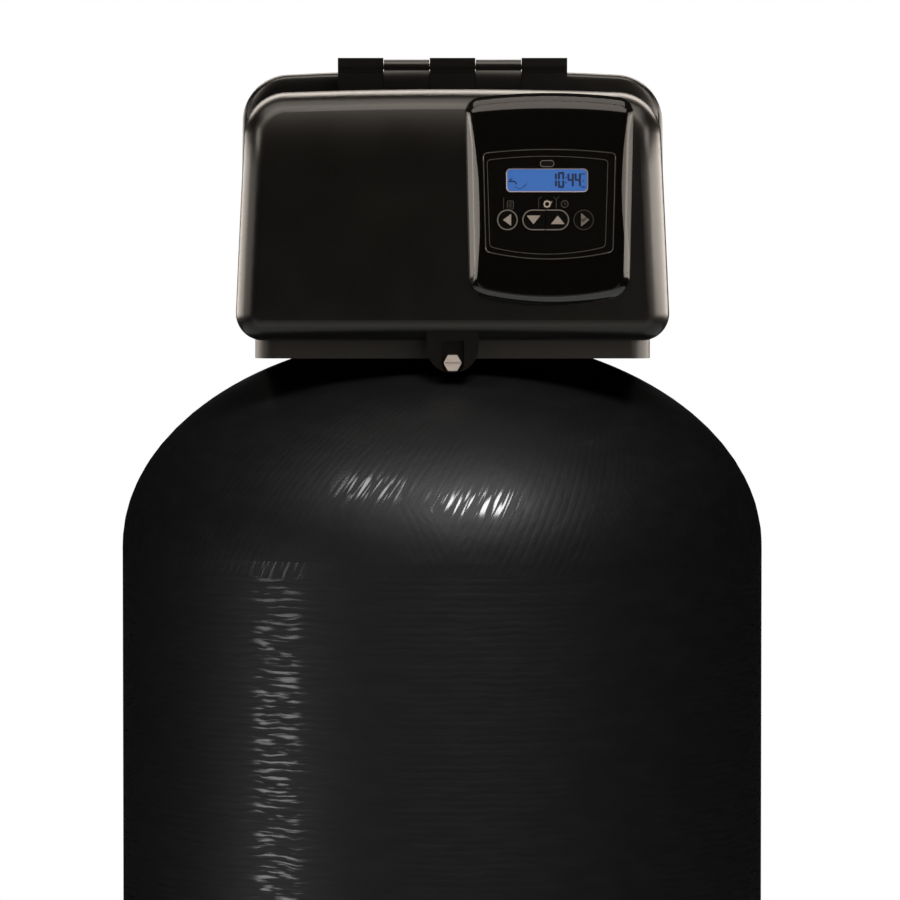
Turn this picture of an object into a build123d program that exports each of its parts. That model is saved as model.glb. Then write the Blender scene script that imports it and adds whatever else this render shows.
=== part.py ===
from build123d import *
import math
import os

# Backwashing carbon water filter: a tall wound tank full of carbon, with a motor driven backwash valve
# under a hinged two part cover on top. Millimetres, +Z up, the display faces -Y, and the origin is on
# the floor on the tank's axis.

# Driving dimensions of the tank
tank_radius = 205.5
tank_wall = 5.0
tank_straight_bottom = 130.0
tank_straight_length = 1378.0
dome_rise = 136.0
bottom_dome_rise = 105.0
neck_stand = 6.0
neck_thread_radius = 36.6

# Driving dimensions of the head's covers
head_offset = 6.6
cover_wall = 3.0
lid_width = 271.5
lid_taper = 7.2
lid_depth = 109.0
lid_height = 156.3
rear_inset = 0.4
rear_depth = 118.0
rear_rise = 13.4
seam_gap = 1.0
seam_y = -30.0
tray_inset = 12.5
tray_height = 35.5

# Fits that every piece shares
close_gap = 0.3
running_gap = 0.08
cut_overrun = 1.0

# Places that follow from the driving dimensions
tank_straight_top = tank_straight_bottom + tank_straight_length
neck_rim = tank_straight_top + dome_rise + neck_stand
rear_width = lid_width - 2 * rear_inset
tray_width = lid_width - 2 * tray_inset


def at(x=0.0, y=0.0, z=0.0):
    """A place in the part's frame."""
    return Pos(x, y, z)


def revolved(points):
    """A solid of revolution about Z from (radius, height) points."""
    outline = Polyline(*[(radius, 0, height) for radius, height in points], close=True)
    return revolve(make_face(outline), Axis.Z)


def upright(radius, low, high, x=0.0, y=0.0):
    """A cylinder along Z between two heights."""
    return at(x, y, (low + high) / 2) * Cylinder(radius, high - low)


def along_y(radius, near, far, x=0.0, z=0.0):
    """A cylinder along Y between two places."""
    return at(x, (near + far) / 2, z) * Rot(90, 0, 0) * Cylinder(radius, far - near)


def along_x(radius, low, high, y=0.0, z=0.0):
    """A cylinder along X between two places."""
    return at((low + high) / 2, y, z) * Rot(0, 90, 0) * Cylinder(radius, high - low)


def block(x_range, y_range, z_range):
    """A box between two corners."""
    low_high = (x_range, y_range, z_range)
    centre = [(low + high) / 2 for low, high in low_high]
    size = [high - low for low, high in low_high]
    return at(*centre) * Box(*size)


def ring_along_y(outer, inner, near, far, x=0.0, z=0.0):
    """A washer shaped ring along Y."""
    bore = along_y(inner, near - cut_overrun, far + cut_overrun, x, z)
    return along_y(outer, near, far, x, z) - bore


def ring_upright(outer, inner, low, high, x=0.0, y=0.0):
    """A washer shaped ring along Z."""
    bore = upright(inner, low - cut_overrun, high + cut_overrun, x, y)
    return upright(outer, low, high, x, y) - bore


def seal_upright(centre_radius, cord_radius, z):
    """An O-ring that lies flat."""
    return at(0, 0, z) * Torus(centre_radius, cord_radius)


def seal_along_y(centre_radius, cord_radius, x, y, z):
    """An O-ring whose axis runs along Y."""
    return at(x, y, z) * Rot(90, 0, 0) * Torus(centre_radius, cord_radius)


def prism_front(outline, near, far):
    """A front view outline, drawn as X and Z, extruded along Y between two places."""
    sketch = Plane.XZ * outline
    return at(0, far, 0) * extrude(sketch, far - near)


def rounded_front(width, height, radius, x, z):
    """A rounded rectangle in the front view."""
    return Pos(x, z) * RectangleRounded(width, height, radius)


def bowed_front(x, half_widths, heights, rises, corners):
    """A front view outline with leaning sides and bowed ends, each pair given from the bottom up."""
    half_low, half_high = half_widths
    low, high = heights
    low_rise, high_rise = rises
    top = ThreePointArc((x + half_high, high - high_rise), (x, high), (x - half_high, high - high_rise))
    if low_rise > 0:
        foot = ThreePointArc((x - half_low, low + low_rise), (x, low), (x + half_low, low + low_rise))
    else:
        foot = Line((x - half_low, low), (x + half_low, low))
    outline = make_face([foot, Line(foot @ 1, top @ 0), top, Line(top @ 1, foot @ 0)])
    outline = fillet(outline.vertices().sort_by(Axis.Y)[-2:], corners[1])
    return fillet(outline.vertices().sort_by(Axis.Y)[:2], corners[0])


def hex_front(across_flats, x, z):
    """A hexagon in the front view with its points to the left and right."""
    return Pos(x, z) * RegularPolygon(across_flats / 2, 6, major_radius=False)


def group(shapes):
    """Separate solids kept in one node."""
    solids = [solid for shape in shapes for solid in shape.solids()]
    return Compound(children=solids)


# Tank shell and the threaded insert in its neck

insert_radius = 50.0
insert_flange_radius = 64.0
insert_flange_height = 8.0
insert_depth = 52.0
seal_cord = 1.75
seal_recess_width = 3.9
seal_recess_depth = 4.0
insert_radius_gap = insert_radius + close_gap


def dome_height(radius, wall=0.0):
    """Height of the top dome at a radius, on its outside or one wall inside it."""
    share = radius / (tank_radius - wall)
    return tank_straight_top + (dome_rise - wall) * math.sqrt(1 - share ** 2)


def bottom_height(radius, wall=0.0):
    """Height of the bottom dome at a radius."""
    share = radius / (tank_radius - wall)
    return tank_straight_bottom - (bottom_dome_rise - wall) * math.sqrt(1 - share ** 2)


def tank_solid(wall):
    """The tank's outer form, drawn in by a wall."""
    radius = tank_radius - wall
    top = EllipticalCenterArc((0, tank_straight_top), radius, dome_rise - wall, 0, arc_size=90)
    bottom = EllipticalCenterArc((0, tank_straight_bottom), radius, bottom_dome_rise - wall, 270, arc_size=90)
    side = Line(bottom @ 1, top @ 0)
    axis = Line(top @ 1, bottom @ 0)
    face = make_face([bottom, side, top, axis])
    return revolve(Plane.XZ * face, Axis.Z)


def make_tank_shell():
    neck_hole = upright(insert_radius_gap, tank_straight_top, neck_rim)
    return tank_solid(0.0) - tank_solid(tank_wall) - neck_hole


insert_flange_top = dome_height(insert_flange_radius, tank_wall) - close_gap


def make_neck_insert():
    body = upright(insert_radius, neck_rim - insert_depth, neck_rim)
    flange = upright(insert_flange_radius, insert_flange_top - insert_flange_height, insert_flange_top)
    bore = upright(neck_thread_radius, neck_rim - insert_depth - cut_overrun, neck_rim + cut_overrun)
    recess_radius = neck_thread_radius + seal_recess_width
    recess = upright(recess_radius, neck_rim - seal_recess_depth, neck_rim + cut_overrun)
    return body + flange - bore - recess


# Moulded boot that the tank stands in

boot_wall = 4.0
boot_height = 165.0
boot_flare_height = 28.0
boot_foot_width = 14.0
boot_foot_inset = 9.0
boot_shelf_share = 0.80
boot_shelf_inner_share = 0.68
boot_shelf_thickness = 8.0
boot_rib_count = 12
boot_rib_thickness = 5.0
boot_rib_lift = 6.0


def make_tank_base():
    bore = tank_radius + close_gap
    outer = bore + boot_wall
    foot_outer = outer - boot_foot_inset
    foot_inner = foot_outer - boot_foot_width
    shelf_outer = tank_radius * boot_shelf_share
    shelf_inner = tank_radius * boot_shelf_inner_share
    # The seat is a cone that follows the bottom dome at the middle of the shelf
    middle = (shelf_outer + shelf_inner) / 2
    share = middle / tank_radius
    slope = bottom_dome_rise * share / tank_radius / math.sqrt(1 - share ** 2)
    seat = bottom_height(middle) - close_gap * math.hypot(1, slope)
    seat_outer = seat + slope * (shelf_outer - middle)
    seat_inner = seat - slope * (middle - shelf_inner)
    boot = revolved([
        (foot_inner, 0),
        (foot_outer, 0),
        (outer, boot_flare_height),
        (outer, boot_height),
        (bore, boot_height),
        (bore, seat_outer),
        (shelf_outer, seat_outer),
        (shelf_inner, seat_inner),
        (shelf_inner, seat_inner - boot_shelf_thickness),
        (foot_inner, seat_inner - boot_shelf_thickness),
    ])
    return boot + boot_ribs(shelf_inner, foot_inner, seat_inner - boot_shelf_thickness)


def boot_ribs(inner, outer, top):
    """Upright ribs under the shelf that carry the tank's weight to the floor."""
    ribs = None
    for step in range(boot_rib_count):
        rib = block((inner, outer + boot_rib_thickness), (-boot_rib_thickness / 2, boot_rib_thickness / 2),
                    (boot_rib_lift, top + boot_rib_thickness))
        rib = Rot(0, 0, step * 360 / boot_rib_count) * rib
        ribs = rib if ribs is None else ribs + rib
    return ribs


# Riser pipe, slotted distributors and the beds that fill the tank

riser_radius = 13.35
riser_wall = 2.2
riser_bottom_gap = 33.0
riser_stand = 8.0
basket_radius = 33.0
basket_top_radius = 25.0
basket_wall = 2.5
basket_height = 62.0
basket_slots = 18
basket_slot_width = 3.0
basket_slot_share = 0.72
top_basket_radius = 28.5
top_basket_height = 46.0
top_collar_height = 14.0
gravel_top = 172.0
carbon_fill_share = 0.62
bed_gap = 0.4

riser_low = bottom_height(0, tank_wall) + riser_bottom_gap
riser_high = neck_rim + riser_stand
basket_low = bottom_height(basket_radius, tank_wall) + close_gap


def slotted_basket(low_radius, high_radius, low, high):
    """A tapered basket with upright slots round it, closed at the bottom."""
    outer = [(0, low), (low_radius, low), (high_radius, high), (0, high)]
    floor = low + basket_wall
    inner = [(0, floor), (low_radius - basket_wall, floor), (high_radius - basket_wall, high), (0, high)]
    shell = revolved(outer) - revolved(inner)
    slot_length = (high - low) * basket_slot_share
    slot_reach = max(low_radius, high_radius) + cut_overrun
    middle = (low + high) / 2
    for step in range(basket_slots):
        slot = at(slot_reach / 2, 0, middle) * Box(slot_reach, basket_slot_width, slot_length)
        shell -= Rot(0, 0, step * 360 / basket_slots) * slot
    return shell


def make_bottom_distributor():
    basket = slotted_basket(basket_radius, basket_top_radius, basket_low, basket_low + basket_height)
    lid = upright(basket_top_radius, basket_low + basket_height - basket_wall, basket_low + basket_height)
    collar = upright(riser_radius + close_gap + basket_wall, riser_low - basket_wall, basket_low + basket_height)
    bore = upright(riser_radius + close_gap, riser_low, basket_low + basket_height + cut_overrun)
    inlet = upright(riser_radius - riser_wall, riser_low - basket_wall - cut_overrun, riser_low + cut_overrun)
    return basket + lid + collar - bore - inlet


def make_riser_tube():
    return ring_upright(riser_radius, riser_radius - riser_wall, riser_low + close_gap, riser_high)


def make_gravel_bed():
    reach = basket_radius + bed_gap
    cavity = upright(reach, 0, basket_low + basket_height + bed_gap)
    pipe = upright(riser_radius + bed_gap, 0, tank_straight_top)
    above = upright(tank_radius, gravel_top, neck_rim)
    return tank_solid(tank_wall + bed_gap) - above - cavity - pipe


def make_carbon_bed():
    top = gravel_top + (tank_straight_top - gravel_top) * carbon_fill_share
    outer = tank_radius - tank_wall - bed_gap
    return ring_upright(outer, riser_radius + bed_gap, gravel_top + bed_gap, top)


# Backwash valve: one moulding with the neck, the barrel of the piston and the three ports

neck_gap = close_gap
valve_neck_depth = 32.0
valve_neck_wall = 6.3
valve_flange_radius = 50.0
valve_flange_height = 14.0
column_radius = 40.0
barrel_height = 58.0
barrel_radius = 38.0
barrel_bore = 30.0
barrel_front = -50.0
barrel_back = 60.0
stack_back = 54.0
port_spread = 41.0
port_rise = 36.0
port_radius = 18.0
port_bore = 13.0
port_end = 98.0
riser_socket_wall = 5.8
riser_socket_depth = 25.0
riser_bore_share = 0.75
drain_x = -20.0
drain_y = 30.0
drain_rise = 104.0
drain_tower_radius = 14.0
drain_port_radius = 12.0
drain_port_bore = 8.0
drain_port_end = 79.0
injector_x = 22.0
injector_y = 20.0
injector_radius = 13.0
injector_rise = 104.0
injector_bore = 8.0
riser_seal_cord = 1.3

flange_top = neck_rim + valve_flange_height
barrel_z = flange_top + barrel_height
port_z = flange_top + port_rise
drain_z = flange_top + drain_rise
injector_top = flange_top + injector_rise
neck_outer = neck_thread_radius - neck_gap
neck_inner = neck_outer - valve_neck_wall
socket_radius = riser_radius + close_gap
riser_seal_z = neck_rim - riser_socket_depth / 4
port_back_start = -port_radius / 2
post_bore = 2.5
post_radius = 6.0
post_spread = 52.0
post_front = -57.7
post_back = -38.0
arm_half_height = 7.0


def make_valve_body():
    body = upright(neck_outer, neck_rim - valve_neck_depth, neck_rim + cut_overrun)
    body += upright(valve_flange_radius, neck_rim, flange_top)
    body += upright(column_radius, neck_rim, barrel_z)
    body += along_y(barrel_radius, barrel_front, barrel_back, 0, barrel_z)
    for side in (-1, 1):
        body += along_y(port_radius, port_back_start, port_end, side * port_spread, port_z)
        body += along_y(post_radius, post_front, post_back, side * post_spread, barrel_z)
    arm_low = barrel_z - arm_half_height
    arm_high = barrel_z + arm_half_height
    body += block((-post_spread, post_spread), (post_back - post_radius, post_back), (arm_low, arm_high))
    body += upright(drain_tower_radius, barrel_z, drain_z + drain_tower_radius, drain_x, drain_y)
    body += along_y(drain_port_radius, drain_y, drain_port_end, drain_x, drain_z)
    body += upright(injector_radius, barrel_z, injector_top, injector_x, injector_y)
    # The annular way round the riser, up to the neck's ceiling, and the riser's own socket
    annulus = ring_upright(neck_inner, socket_radius + riser_socket_wall,
                           neck_rim - valve_neck_depth - cut_overrun, neck_rim + cut_overrun)
    socket = upright(socket_radius, neck_rim - valve_neck_depth - cut_overrun, riser_high + close_gap)
    riser_way = upright(riser_radius * riser_bore_share, neck_rim, barrel_z)
    seal_groove = ring_upright(socket_radius + 2 * riser_seal_cord, riser_radius,
                               riser_seal_z - riser_seal_cord - close_gap,
                               riser_seal_z + riser_seal_cord + close_gap)
    body = body - annulus - socket - riser_way - seal_groove
    body -= along_y(barrel_bore, barrel_front - cut_overrun, stack_back, 0, barrel_z)
    for side in (-1, 1):
        body -= along_y(port_bore, 0, port_end + cut_overrun, side * port_spread, port_z)
        body -= along_x(port_bore / 2, *sorted((0, side * port_spread)), 0, port_z)
        body -= along_y(post_bore, post_front - cut_overrun, post_back - post_radius / 2,
                        side * post_spread, barrel_z)
    body -= along_y(drain_port_bore, drain_y, drain_port_end + cut_overrun, drain_x, drain_z)
    body -= upright(drain_port_bore, barrel_z, drain_z, drain_x, drain_y)
    body -= upright(injector_bore, barrel_z, injector_top + cut_overrun, injector_x, injector_y)
    return body


def make_riser_seal():
    return seal_upright(riser_radius + close_gap + riser_seal_cord, riser_seal_cord, riser_seal_z)


def make_tank_seal():
    middle = neck_outer + (seal_recess_width + neck_gap) / 2
    return seal_upright(middle, seal_cord, neck_rim - seal_recess_depth / 2)


def make_top_distributor():
    collar_top = neck_rim - valve_neck_depth + top_collar_height
    collar_low = neck_rim - valve_neck_depth - close_gap
    basket = slotted_basket(top_basket_radius, neck_inner - close_gap, collar_low - top_basket_height, collar_low)
    collar = ring_upright(neck_inner - close_gap, neck_inner - close_gap - basket_wall, collar_low, collar_top)
    flange = ring_upright(neck_outer - close_gap, neck_inner - close_gap - basket_wall,
                          collar_low - basket_wall, collar_low)
    pipe_hole = upright(riser_radius + close_gap, 0, neck_rim)
    return basket + collar + flange - pipe_hole


# Piston, its stack of spacers and seals, and the cap that holds them in

stack_seal_length = 4.0
stack_count = 4
stack_front = -30.0
spacer_wall = 8.0
spacer_windows = 6
spacer_window_width = 9.0
piston_radius = 20.4
piston_waist = 12.0
piston_land = 10.0
piston_length = 42.0
piston_travel = 30.0
piston_lead = 12.0
piston_back_gap = 3.0
rod_radius = 4.0
rod_front = -79.0
cap_radius_outer = 38.0
cap_flange = 5.0
cap_boss_radius = 9.0
cap_boss_end = -66.0
cap_grips = 12

stack_outer = barrel_bore - close_gap
stack_inner = stack_outer - spacer_wall
spacer_length = (stack_back - stack_front - (stack_count + 1) * stack_seal_length) / stack_count
stack_pitch = spacer_length + stack_seal_length


def make_stack_spacers():
    spacers = []
    for step in range(stack_count):
        near = stack_front + stack_seal_length + step * stack_pitch
        spacer = ring_along_y(stack_outer, stack_inner, near, near + spacer_length, 0, barrel_z)
        for window in range(spacer_windows):
            turn = Rot(0, window * 360 / spacer_windows, 0)
            cut = at(0, near + spacer_length / 2, barrel_z) * turn
            window_box = Box(spacer_window_width, spacer_length / 2, 2 * stack_outer)
            half_way = at(0, 0, stack_outer) * window_box
            spacer -= cut * half_way
        spacers.append(spacer)
    return group(spacers)


def make_stack_seals():
    inner = piston_radius + running_gap
    seals = []
    for step in range(stack_count + 1):
        near = stack_front + step * stack_pitch
        seals.append(ring_along_y(stack_outer, inner, near, near + stack_seal_length, 0, barrel_z))
    return group(seals)


piston_back = stack_back - piston_back_gap
piston_front = piston_back - piston_length


def make_piston():
    body = along_y(piston_waist, piston_front, piston_back, 0, barrel_z)
    body += along_y(piston_radius, piston_front, piston_front + piston_land, 0, barrel_z)
    body += along_y(piston_radius, piston_back - piston_land, piston_back, 0, barrel_z)
    rod_hole = along_y(rod_radius + close_gap, piston_front - cut_overrun, piston_front + piston_land, 0, barrel_z)
    return body - rod_hole


def make_piston_rod():
    rod = along_y(rod_radius, rod_front, piston_front + piston_land - close_gap, 0, barrel_z)
    flat = rod_radius / 2
    key_way = block((-flat / 2, flat / 2), (rod_front - cut_overrun, cap_boss_end), (flat, rod_radius + cut_overrun))
    return rod - at(0, 0, barrel_z) * key_way


def make_drive_cap():
    plug = along_y(stack_outer, barrel_front, stack_front, 0, barrel_z)
    flange = along_y(cap_radius_outer, barrel_front - cap_flange, barrel_front, 0, barrel_z)
    boss = along_y(cap_boss_radius, cap_boss_end, barrel_front, 0, barrel_z)
    bore = along_y(rod_radius + running_gap, cap_boss_end - cut_overrun, stack_front + cut_overrun, 0, barrel_z)
    cap = plug + flange + boss - bore
    for step in range(cap_grips):
        turn = math.radians(step * 360 / cap_grips)
        notch_x = cap_radius_outer * math.cos(turn)
        notch_z = barrel_z + cap_radius_outer * math.sin(turn)
        cap -= along_y(cap_flange / 2, barrel_front - cap_flange - cut_overrun, barrel_front, notch_x, notch_z)
    return cap


# Plug on the injector's boss with its two screws

plug_cap_thickness = 6.0
plug_cap_radius = 16.0
plug_depth = 18.0
plug_screw_spread = 13.5
plug_screw_radius = 1.6
plug_screw_head_radius = 2.8
plug_screw_head = 2.2
ear_radius = 5.0


def make_injector_cap():
    plate = upright(plug_cap_radius, injector_top, injector_top + plug_cap_thickness, injector_x, injector_y)
    plug = upright(injector_bore - close_gap, injector_top - plug_depth, injector_top, injector_x, injector_y)
    cap = plate + plug
    for side in (-1, 1):
        x = injector_x + side * plug_screw_spread
        cap += upright(ear_radius, injector_top, injector_top + plug_cap_thickness, x, injector_y)
    for side in (-1, 1):
        x = injector_x + side * plug_screw_spread
        cap -= upright(plug_screw_radius + running_gap, injector_top - cut_overrun,
                       injector_top + plug_cap_thickness + cut_overrun, x, injector_y)
    return cap


def make_injector_screws():
    screws = []
    top = injector_top + plug_cap_thickness
    for side in (-1, 1):
        x = injector_x + side * plug_screw_spread
        shank = upright(plug_screw_radius, injector_top + running_gap, top, x, injector_y)
        head = upright(plug_screw_head_radius, top, top + plug_screw_head, x, injector_y)
        slot = block((x - plug_screw_head_radius, x + plug_screw_head_radius),
                     (injector_y - plug_screw_head / 4, injector_y + plug_screw_head / 4),
                     (top + plug_screw_head / 2, top + plug_screw_head + cut_overrun))
        screws.append(shank + head - slot)
    return group(screws)


# Drain fitting pushed over the drain port, with its seal

drain_hose_radius = 9.5
drain_hose_bore = 6.5
drain_body_length = 20.0
drain_flange = 3.0
drain_end = 140.0
drain_plug_depth = 10.0
drain_seal_cord = 1.2


drain_start = drain_port_end + close_gap
drain_tail_length = drain_end - drain_start - drain_body_length


def make_drain_fitting():
    start = drain_start
    plug_radius = drain_port_bore - close_gap
    fitting = along_y(drain_port_radius + drain_flange, start, start + drain_body_length, drain_x, drain_z)
    fitting += along_y(plug_radius, start - drain_plug_depth, start, drain_x, drain_z)
    fitting += along_y(drain_hose_radius, start, drain_end, drain_x, drain_z)
    fitting -= along_y(drain_hose_bore, start - drain_plug_depth - cut_overrun, drain_end + cut_overrun,
                       drain_x, drain_z)
    groove_middle = start - drain_plug_depth / 2
    groove = ring_along_y(plug_radius + cut_overrun, plug_radius - drain_seal_cord / 2,
                          groove_middle - drain_seal_cord, groove_middle + drain_seal_cord, drain_x, drain_z)
    return fitting - groove


# Gear train with stub involute teeth: the motor turns the drive gear through one reduction gear

gear_module = 1.5
drive_teeth = 52
wheel_teeth = 36
pinion_teeth = 12
pressure_angle = 25.0
addendum_share = 0.8
dedendum_share = 1.05
backlash = 0.2
flank_steps = 3
train_tilt = 26.0
drive_gear_near = -71.0
drive_gear_far = -64.0
wheel_near = -79.0
wheel_far = -74.0
pinion_step_far = -63.3
axle_radius = 2.5
motor_axle_radius = 3.0
hub_radius = 14.0
hub_near = -77.0
wheel_web_share = 0.5
lightening_holes = 6
lightening_share = 0.18

drive_pitch = gear_module * drive_teeth / 2
wheel_pitch = gear_module * wheel_teeth / 2
pinion_pitch = gear_module * pinion_teeth / 2
tilt = math.radians(train_tilt)
idler_x = -(drive_pitch + pinion_pitch) * math.cos(tilt)
idler_z = barrel_z + (drive_pitch + pinion_pitch) * math.sin(tilt)
motor_x = idler_x - (wheel_pitch + pinion_pitch) * math.cos(tilt)
motor_z = idler_z + (wheel_pitch + pinion_pitch) * math.sin(tilt)


def involute_angle(radius, base):
    """How far the involute has turned at a radius."""
    if radius <= base:
        return 0.0
    pressure = math.acos(base / radius)
    return math.tan(pressure) - pressure


def gear_outline(teeth, first_tooth_degrees):
    """A gear's outline with stub involute teeth, one tooth centred on the given direction."""
    pitch = gear_module * teeth / 2
    base = pitch * math.cos(math.radians(pressure_angle))
    tip = pitch + addendum_share * gear_module
    root = pitch - dedendum_share * gear_module
    half_tooth = math.pi / (2 * teeth) - backlash / (2 * pitch) + involute_angle(pitch, base)
    flank_start = max(root, base)
    radii = [flank_start + (tip - flank_start) * step / flank_steps for step in range(flank_steps + 1)]
    points = []
    for tooth in range(teeth):
        middle = math.radians(first_tooth_degrees) + tooth * 2 * math.pi / teeth
        flank = [(radius, half_tooth - involute_angle(radius, base)) for radius in radii]
        if root < base:
            flank.insert(0, (root, half_tooth))
        rising = [(radius, middle - angle) for radius, angle in flank]
        falling = [(radius, middle + angle) for radius, angle in reversed(flank)]
        for radius, angle in rising + falling:
            points.append((radius * math.cos(angle), radius * math.sin(angle)))
    return make_face(Polyline(*points, close=True))


def gear_solid(teeth, first_tooth_degrees, near, far, x, z):
    """A toothed disc along Y in the front view."""
    outline = gear_outline(teeth, first_tooth_degrees)
    return prism_front(Pos(x, z) * outline, near, far)


# The mesh direction from the drive gear to the idler, and the tooth phases that put both pairs in mesh
mesh_degrees = 180.0 - train_tilt
pinion_phase = mesh_degrees + 180.0 + 180.0 / pinion_teeth


def make_drive_gear():
    gear = gear_solid(drive_teeth, mesh_degrees, drive_gear_near, drive_gear_far, 0, barrel_z)
    gear += along_y(hub_radius, hub_near, drive_gear_near, 0, barrel_z)
    hole_circle = (drive_pitch + hub_radius) / 2
    for step in range(lightening_holes):
        turn = math.radians(step * 360 / lightening_holes)
        hole_x = hole_circle * math.cos(turn)
        hole_z = barrel_z + hole_circle * math.sin(turn)
        gear -= along_y(drive_pitch * lightening_share, drive_gear_near - cut_overrun,
                        drive_gear_far + cut_overrun, hole_x, hole_z)
    gear -= along_y(rod_radius + running_gap, hub_near - cut_overrun, drive_gear_far + cut_overrun, 0, barrel_z)
    gear -= along_y(cap_boss_radius + running_gap, cap_boss_end - close_gap, drive_gear_far + cut_overrun, 0, barrel_z)
    return gear


def make_reduction_gear():
    wheel = gear_solid(wheel_teeth, mesh_degrees, wheel_near, wheel_far, idler_x, idler_z)
    pinion = gear_solid(pinion_teeth, pinion_phase, wheel_far, pinion_step_far, idler_x, idler_z)
    bore = along_y(axle_radius + running_gap, wheel_near - cut_overrun, pinion_step_far + cut_overrun, idler_x, idler_z)
    return wheel + pinion - bore


def make_motor_pinion():
    pinion = gear_solid(pinion_teeth, pinion_phase, wheel_near - cut_overrun, wheel_far + cut_overrun,
                        motor_x, motor_z)
    bore = along_y(motor_axle_radius + running_gap, wheel_near - 2 * cut_overrun, wheel_far + 2 * cut_overrun,
                   motor_x, motor_z)
    return pinion - bore


# Bracket, motor, axle and their fasteners

bracket_thickness = 3.0
bracket_radius = 30.0
bracket_end_radius = 24.0
bracket_near = post_front - bracket_thickness
motor_radius = 18.0
motor_length = 30.0
motor_neck_radius = 6.0
clip_radius = 5.0
clip_thickness = 1.0
screw_radius = 2.2
screw_head_radius = 4.2
screw_head = 2.6
bracket_screw_reach = 10.0
bracket_window_radius = cap_radius_outer + close_gap


def make_drive_bracket():
    plate = prism_front(Pos(0, barrel_z) * Rectangle(2 * (post_spread + post_radius), 2 * post_radius),
                        bracket_near, post_front)
    for x, z, radius in ((0, barrel_z, bracket_window_radius + bracket_thickness),
                         (idler_x, idler_z, bracket_radius), (motor_x, motor_z, bracket_end_radius)):
        plate += along_y(radius, bracket_near, post_front, x, z)
    plate += along_y(post_radius, bracket_near, post_front, post_spread, barrel_z)
    holes = [(0, barrel_z, bracket_window_radius), (idler_x, idler_z, axle_radius),
             (motor_x, motor_z, motor_neck_radius + running_gap)]
    holes += [(side * post_spread, barrel_z, screw_radius + running_gap) for side in (-1, 1)]
    for x, z, radius in holes:
        plate -= along_y(radius, bracket_near - cut_overrun, post_front + cut_overrun, x, z)
    return plate


def make_bracket_screws():
    screws = []
    for side in (-1, 1):
        x = side * post_spread
        shank = along_y(screw_radius, bracket_near, bracket_near + bracket_screw_reach, x, barrel_z)
        head = along_y(screw_head_radius, bracket_near - screw_head, bracket_near, x, barrel_z)
        screws.append(shank + head - cross_recess(x, bracket_near - screw_head, barrel_z, screw_head_radius))
    return group(screws)


def cross_recess(x, face_y, z, head_radius):
    """The crossed drive recess of a screw whose head faces -Y."""
    wide = head_radius
    narrow = head_radius / 4
    depth = (face_y - cut_overrun, face_y + head_radius / 3)
    bars = block((x - wide / 2, x + wide / 2), depth, (z - narrow / 2, z + narrow / 2))
    return bars + block((x - narrow / 2, x + narrow / 2), depth, (z - wide / 2, z + wide / 2))


def make_drive_motor():
    can = along_y(motor_radius, post_front, post_front + motor_length, motor_x, motor_z)
    neck = along_y(motor_neck_radius, bracket_near, post_front, motor_x, motor_z)
    shaft = along_y(motor_axle_radius, wheel_near - 2 * cut_overrun, post_front, motor_x, motor_z)
    return can + neck + shaft


def make_gear_axle():
    return along_y(axle_radius, wheel_near - 2 * clip_thickness, post_front, idler_x, idler_z)


def make_gear_clip():
    near = wheel_near - close_gap - clip_thickness
    return ring_along_y(clip_radius, axle_radius + running_gap, near, near + clip_thickness, idler_x, idler_z)


# Head covers: the tray round the valve, the rear cover and the hinged front cover

lid_drop = 21.3
tray_setback = 15.0
lid_bottom = flange_top - lid_drop
lid_top = lid_bottom + lid_height
rear_top = lid_top + rear_rise
lid_back = seam_y - seam_gap
lid_front = lid_back - lid_depth
rear_back = seam_y + rear_depth
tray_top = flange_top + cover_wall
tray_bottom = tray_top - tray_height
tray_front = lid_front + tray_setback
tray_back = rear_back - cover_wall - close_gap
tray_corner = 12.0
dome_clearance = 2.0
lug_margin = 1.0
lug_thickness = 6.0
tray_screw_spread = 44.7


def make_base_tray():
    width = tray_width
    depth = tray_back - tray_front
    middle = (tray_back + tray_front) / 2
    outer = at(head_offset, middle, tray_bottom) * extrude(RectangleRounded(width, depth, tray_corner), tray_height)
    inside = RectangleRounded(width - 2 * cover_wall, depth - 2 * cover_wall, tray_corner - cover_wall)
    hollow = at(head_offset, middle, tray_bottom - cut_overrun) * extrude(inside, tray_height - cover_wall + cut_overrun)
    tray = outer - hollow - tank_solid(-dome_clearance)
    tray += screw_lug()
    tray -= upright(column_radius + close_gap, tray_bottom, tray_top + cut_overrun)
    for side in (-1, 1):
        tray -= block((side * port_spread - port_radius - close_gap, side * port_spread + port_radius + close_gap),
                      (column_radius / 2, column_radius), (flange_top - cut_overrun, tray_top + cut_overrun))
        tray -= upright(screw_radius + running_gap, flange_top - cut_overrun, tray_top + cut_overrun,
                        side * tray_screw_spread, 0)
        tray -= along_y(rear_screw_radius + running_gap, tray_back - 2 * cover_wall, tray_back + cut_overrun,
                        head_offset + side * rear_screw_spread, rear_screw_z)
    slot_low = screw_z - screw_shank_radius - running_gap
    slot_high = screw_z + screw_shank_radius + screw_slot_rise
    slot_width = 2 * (screw_shank_radius + running_gap)
    tray -= block((head_offset - slot_width / 2, head_offset + slot_width / 2),
                  (tray_front - cut_overrun, tray_front + lug_thickness + cut_overrun), (slot_low, slot_high))
    return tray


def screw_lug():
    """The lug under the tray's front wall that takes the cover screw, hidden behind the cover's tab."""
    return prism_front(tab_outline(tab_radius - lug_margin, tray_bottom + cover_wall),
                       tray_front, tray_front + lug_thickness)


def make_tray_screws():
    screws = []
    for side in (-1, 1):
        x = side * tray_screw_spread
        shank = upright(screw_radius, flange_top + running_gap, tray_top, x, 0)
        head = upright(screw_head_radius, tray_top, tray_top + screw_head, x, 0)
        screws.append(shank + head)
    return group(screws)


# Rear cover

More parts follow.
